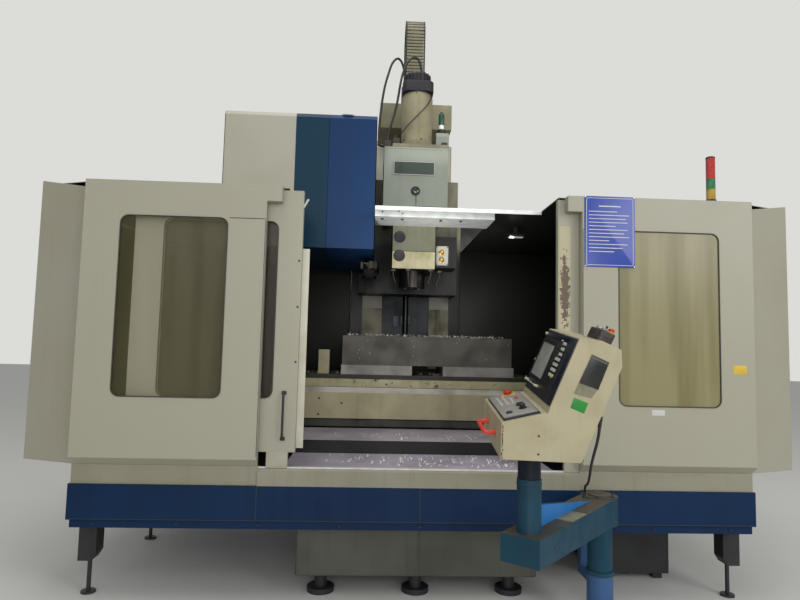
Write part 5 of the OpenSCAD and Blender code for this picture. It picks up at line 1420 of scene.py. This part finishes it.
def makeArm():
    # places on the arm are counted from the post: along it towards the pivot, and across it
    (px, py), (qx, qy) = arm["pivot"], arm["post"]
    length = math.hypot(px - qx, py - qy)
    along = np.array((px - qx, py - qy, 0)) / length
    across = np.array((-along[1], along[0], 0))
    post = np.array((qx, qy, arm["top"]))
    # blue gusset: a plate against each side of the CAD web
    web = np.array([(0.0465, 0.001), (length - 0.150, 0.001), (0.0465, 0.104)])
    parts = [(moved(plate(outline, 0.0012), post + across * side * arm["webHalf"], -side * along, frontZ),
              gussetBlue)
             for side, outline in ((-1, web), (1, web[::-1] * (-1, 1)))]
    collar = turned([(0.0545, 0), (0.0545, 0.006), (0.0525, 0.008)], 40)
    cap = turned([(0.060, 0), (0.060, 0.006), (0.055, 0.009), (0.002, 0.009)], 36)
    bolts = around(hexHead(0.014, 0.007), (px, py, arm["capZ"]), 0.078, (0.2, 1.6, 2.9, 4.2, 5.4))
    patch = slab(0.180, 0.110, 0.0012, 0.008, 0.0004)
    hole = turned([(0.009, 0), (0.009, 0.001), (0.002, 0.001)], 16)
    holeAt = np.array((qx, qy, arm["holeZ"])) + along * 0.075 - across * 0.090
    parts += [(moved(collar, (qx, qy, arm["collarZ"])), armTeal),
              (moved(cap, (px, py, arm["capZ"])), dustyTop),
              (joined(bolts), darkEnamel),
              (moved(patch, post + along * 0.36 - across * 0.030, along, across), ventGrey),
              (moved(hole, holeAt, along, frontZ), panelBlack)]
    makePiece("armTrim", parts, "swing_arm")
    gland = turned([(0.0115, 0.0), (0.0115, 0.006), (0.0095, 0.010), (0.008, 0.012)], 14)
    makePiece("cableGland", [(moved(gland, arm["gland"]), blackMoulding)], "swing_arm")
    ring = turned([(0.069, 0.262), (0.075, 0.266), (0.075, 0.281), (0.070, 0.285)], 44)
    makePiece("pedestalRing", [(moved(ring, (px, py, 0)), darkTeal)], "machine")
    makePiece("cableRelief", [(cableSleeve(), blackMoulding)], "desk")


softened("swing_arm", "swingArm", 0.005, armTeal)
softened("pedestal", "pedestalTube", 0.003, pedestalBlue)
makeArm()
print("stage: arm")


# Base machinery, and the electrical cabinet with louvres, a bare plate and a lock on its door
softened("coolant_tank", "coolantTank", 0.004, darkEnamel)
softened("coolant_pump", "coolantPump", 0.004, pumpTeal)
softened("electrical_cabinet", "electricalCabinet", 0.004, coatEnamel)
softened("cabinet_door", "cabinetDoor", 0.003, coatEnamel)
cabinet = {"y": 1.4705, "slotX": (0.98, 1.44), "slotZ": ((0.30, 0.62), (1.62, 1.94)), "slots": 9,
           "slotWide": 0.30,
           "plateAt": (0.775, 1.4705, 1.17), "lockAt": (0.775, 1.4705, 1.05)}


def louvre(w, h=0.018, d=0.007):
    # pressed louvre: a blister that rises by a sine from its top edge and ends open at the bottom
    steps = 7
    t = np.linspace(0, 1, steps)
    grid = np.zeros((steps, 4, 3))
    grid[:, :, 0] = np.array([-w / 2, -w / 2 + d, w / 2 - d, w / 2])
    grid[:, :, 1] = (h / 2 - h * t)[:, None]
    grid[:, :, 2] = (d * np.sin(t * np.pi / 2))[:, None] * np.array([0.0, 1.0, 1.0, 0.0])
    faces = [(r * 4 + c, (r + 1) * 4 + c, (r + 1) * 4 + c + 1, r * 4 + c + 1) for r in range(steps - 1)
             for c in range(3)]
    return grid.reshape(-1, 3), faces


slots = [moved(louvre(cabinet["slotWide"]), (x, cabinet["y"], z), rearX, frontZ)
         for low, high in cabinet["slotZ"]
         for x in cabinet["slotX"] for z in np.linspace(low, high, cabinet["slots"])]
bareLabel = moved(slab(0.07, 0.20, 0.003, 0.01, 0.001), cabinet["plateAt"], rearX, frontZ)
lock = moved(turned([(0.014, 0), (0.014, 0.006), (0.010, 0.009), (0.002, 0.009)], 20), cabinet["lockAt"],
             rearX, frontZ)
makePiece("cabinetLouvres", [(joined(slots), coatEnamel), (bareLabel, blackMoulding), (lock, zincSheet)],
          "cabinet_door")


# Sides and rear of the cabin: seams, service doors with vents, catches and hinges, screws, lifting eyes
sides = {"wallX": 2.262, "rearY": 1.004, "low": 0.757, "high": 2.350, "seams": (-0.35, 0.30), "inset": 0.06,
         "door": (0.655, 1.45, 0.56, 1.05), "doorThick": 0.004, "ventWide": 0.34, "vents": (1.08, 1.32, 7),
         "hingeApart": 0.40, "screwY": (-0.38, -0.32, 0.27, 0.33, 0.97), "screwZ": (0.85, 2.25, 6),
         "rearX": (-2.20, -1.60, -1.00, -0.56, 2.20, 1.86), "rearSeam": (-1.38, 1.553), "rearSeamHigh": 1.52,
         "dataPlate": (-0.85, 1.95), "eyes": (-0.22, 0.29), "eyeY": 1.36, "eyeZ": 3.555}


def makeSideTrim(side, name):
    # everything on one side wall, drawn facing outwards: x runs along the wall and y up
    wall = side * sides["wallX"]
    outer = wall + side * sides["doorThick"]
    y, z, w, h = sides["door"]

    def onWall(shape, at, up, x=wall):
        return moved(shape, (x, at, up), (0, side, 0), frontZ)

    seam = slab(0.004, sides["high"] - sides["low"] - sides["inset"], 0.0012, 0.001, 0.0003)
    lines = [onWall(seam, at, (sides["low"] + sides["high"]) / 2) for at in sides["seams"]]
    vents = [onWall(louvre(sides["ventWide"]), y, up, outer) for up in np.linspace(*sides["vents"])]
    catch = onWall(slab(0.030, 0.110, 0.012, 0.006, 0.003), y - w / 2 + 0.05, z + 0.20, outer)
    pin = turned([(0.008, 0), (0.008, 0.060), (0.006, 0.062)], 12)
    hinges = [moved(pin, (wall + side * 0.006, y + w / 2 + 0.006, z + k * sides["hingeApart"] - 0.030))
              for k in (-1, 1)]
    heads = [onWall(screwHead(), at, up) for at in sides["screwY"] for up in np.linspace(*sides["screwZ"])]
    makePiece("sideTrim" + name, [
        (joined(lines), seamShade), (onWall(slab(w, h, sides["doorThick"], 0.012, 0.0015), y, z), coatEnamel),
        (joined(vents), coatEnamel), (joined([catch] + hinges), blackMoulding),
        (joined(heads), darkEnamel)], "machine")


def makeRearTrim():
    # screws, a seam and a data plate left bare on the rear wall; eyes on the column
    def onRear(shape, x, z):
        return moved(shape, (x, sides["rearY"], z), rearX, frontZ)

    heads = [onRear(screwHead(), x, z) for x in sides["rearX"] for z in np.linspace(*sides["screwZ"])]
    line = onRear(slab(0.004, sides["rearSeamHigh"], 0.0012, 0.001, 0.0003), *sides["rearSeam"])
    dataPlate = onRear(slab(0.14, 0.10, 0.0015, 0.004, 0.0004), *sides["dataPlate"])
    makePiece("rearTrim", [(joined(heads), darkEnamel), (line, seamShade), (dataPlate, zincSheet)], "machine")
    ring = circle(0.032, 28)
    eye = carried(circle(0.008, 10), np.stack([ring[:, 0], np.zeros(28), ring[:, 1]], axis=1), (0, 1, 0),
                  loop=True)
    shank = turned([(0.020, 0), (0.020, 0.006), (0.010, 0.010), (0.010, 0.018)], 16)
    eyes = [moved(shape, (x, sides["eyeY"], sides["eyeZ"] + up)) for x in sides["eyes"]
            for shape, up in ((shank, 0), (eye, 0.048))]
    makePiece("liftingEyes", [(joined(eyes), darkEnamel)], "machine")


for side, name in sideNames:
    makeSideTrim(side, name)
makeRearTrim()
print("stage: back")


# Stage: pale floor, soft light, pale background
stage = {"floorHalf": 30.0, "floorHex": "#cfcfca", "cloudHex": "#d6d6d2", "behindHex": "#dcdcd8",
         "light": 0.42}


def makeStage():
    # the camera, also through the panes, sees the background's own colour; everything else is lit by white
    half = stage["floorHalf"]
    mesh = bpy.data.meshes.new("floor")
    mesh.from_pydata([(-half, -half, 0), (half, -half, 0), (half, half, 0), (-half, half, 0)], [],
                     [(0, 1, 2, 3)])
    plane = bpy.data.objects.new("floor", mesh)
    bpy.context.scene.collection.objects.link(plane)
    material, tree, shader, place = startMaterial("paleConcrete")
    colour = mixed(tree, noise(tree, place, 1.5, 5.0), stage["floorHex"], stage["cloudHex"])
    tree.links.new(colour, shader.inputs["Base Color"])
    shader.inputs["Roughness"].default_value = 0.6
    mesh.materials.append(material)
    world = bpy.data.worlds.new("softWorld")
    bpy.context.scene.world = world
    world.use_nodes = True
    tree = world.node_tree
    tree.nodes.clear()
    path = addNode(tree, "LightPath")
    seen = addNode(tree, "Background", None, {"Color": toLinear(stage["behindHex"]), "Strength": 1.0})
    light = addNode(tree, "Background", None, {"Color": (1.0, 1.0, 1.0, 1.0), "Strength": stage["light"]})
    shown = maths(tree, "MAXIMUM", path.outputs["Is Camera Ray"], path.outputs["Is Transmission Ray"])
    both = addNode(tree, "MixShader", None, {0: shown, 1: light.outputs[0], 2: seen.outputs[0]})
    addNode(tree, "OutputWorld", None, {"Surface": both.outputs[0]})


# Lamps: place, what they aim at, size in metres, power in watts, and the angle of a narrow one
lamps = {
    "overhead": ((-0.5, -1.5, 7.5), (0, -0.8, 1.5), 6.0, 215.0, 180),
    "frontLeft": ((-3.5, -8.5, 5.0), (0, -1.0, 1.4), 4.0, 60.0, 180),
    "frontRight": ((5.5, -7.0, 4.5), (0.5, -1.0, 1.2), 4.0, 245.0, 180),
    "lowFront": ((0.2, -8.0, 2.3), (0.0, 0.0, 1.5), 3.0, 120.0, 180),
    "underBeam": ((-0.75, -3.3, 0.25), (0.1, -0.6, 2.34), 0.3, 2.3, 26),
    "workLamp": ((0.7355, -0.30, 2.255), (0.1, 0.1, 1.3), 0.1, 2.5, 180),
}


def makeLamps():
    # square lamps, each turned to look at its aim
    for name, (place, aim, size, power, angle) in lamps.items():
        data = bpy.data.lights.new(name, "AREA")
        data.energy = power
        data.size = size
        data.spread = math.radians(angle)
        lamp = bpy.data.objects.new(name, data)
        bpy.context.scene.collection.objects.link(lamp)
        turn = (Vector(aim) - Vector(place)).to_track_quat("-Z", "Y").to_matrix().to_4x4()
        lamp.matrix_world = Matrix.Translation(place) @ turn


makeStage()
makeLamps()
bpy.context.scene.view_settings.view_transform = "Standard"
print("stage: floor and light")
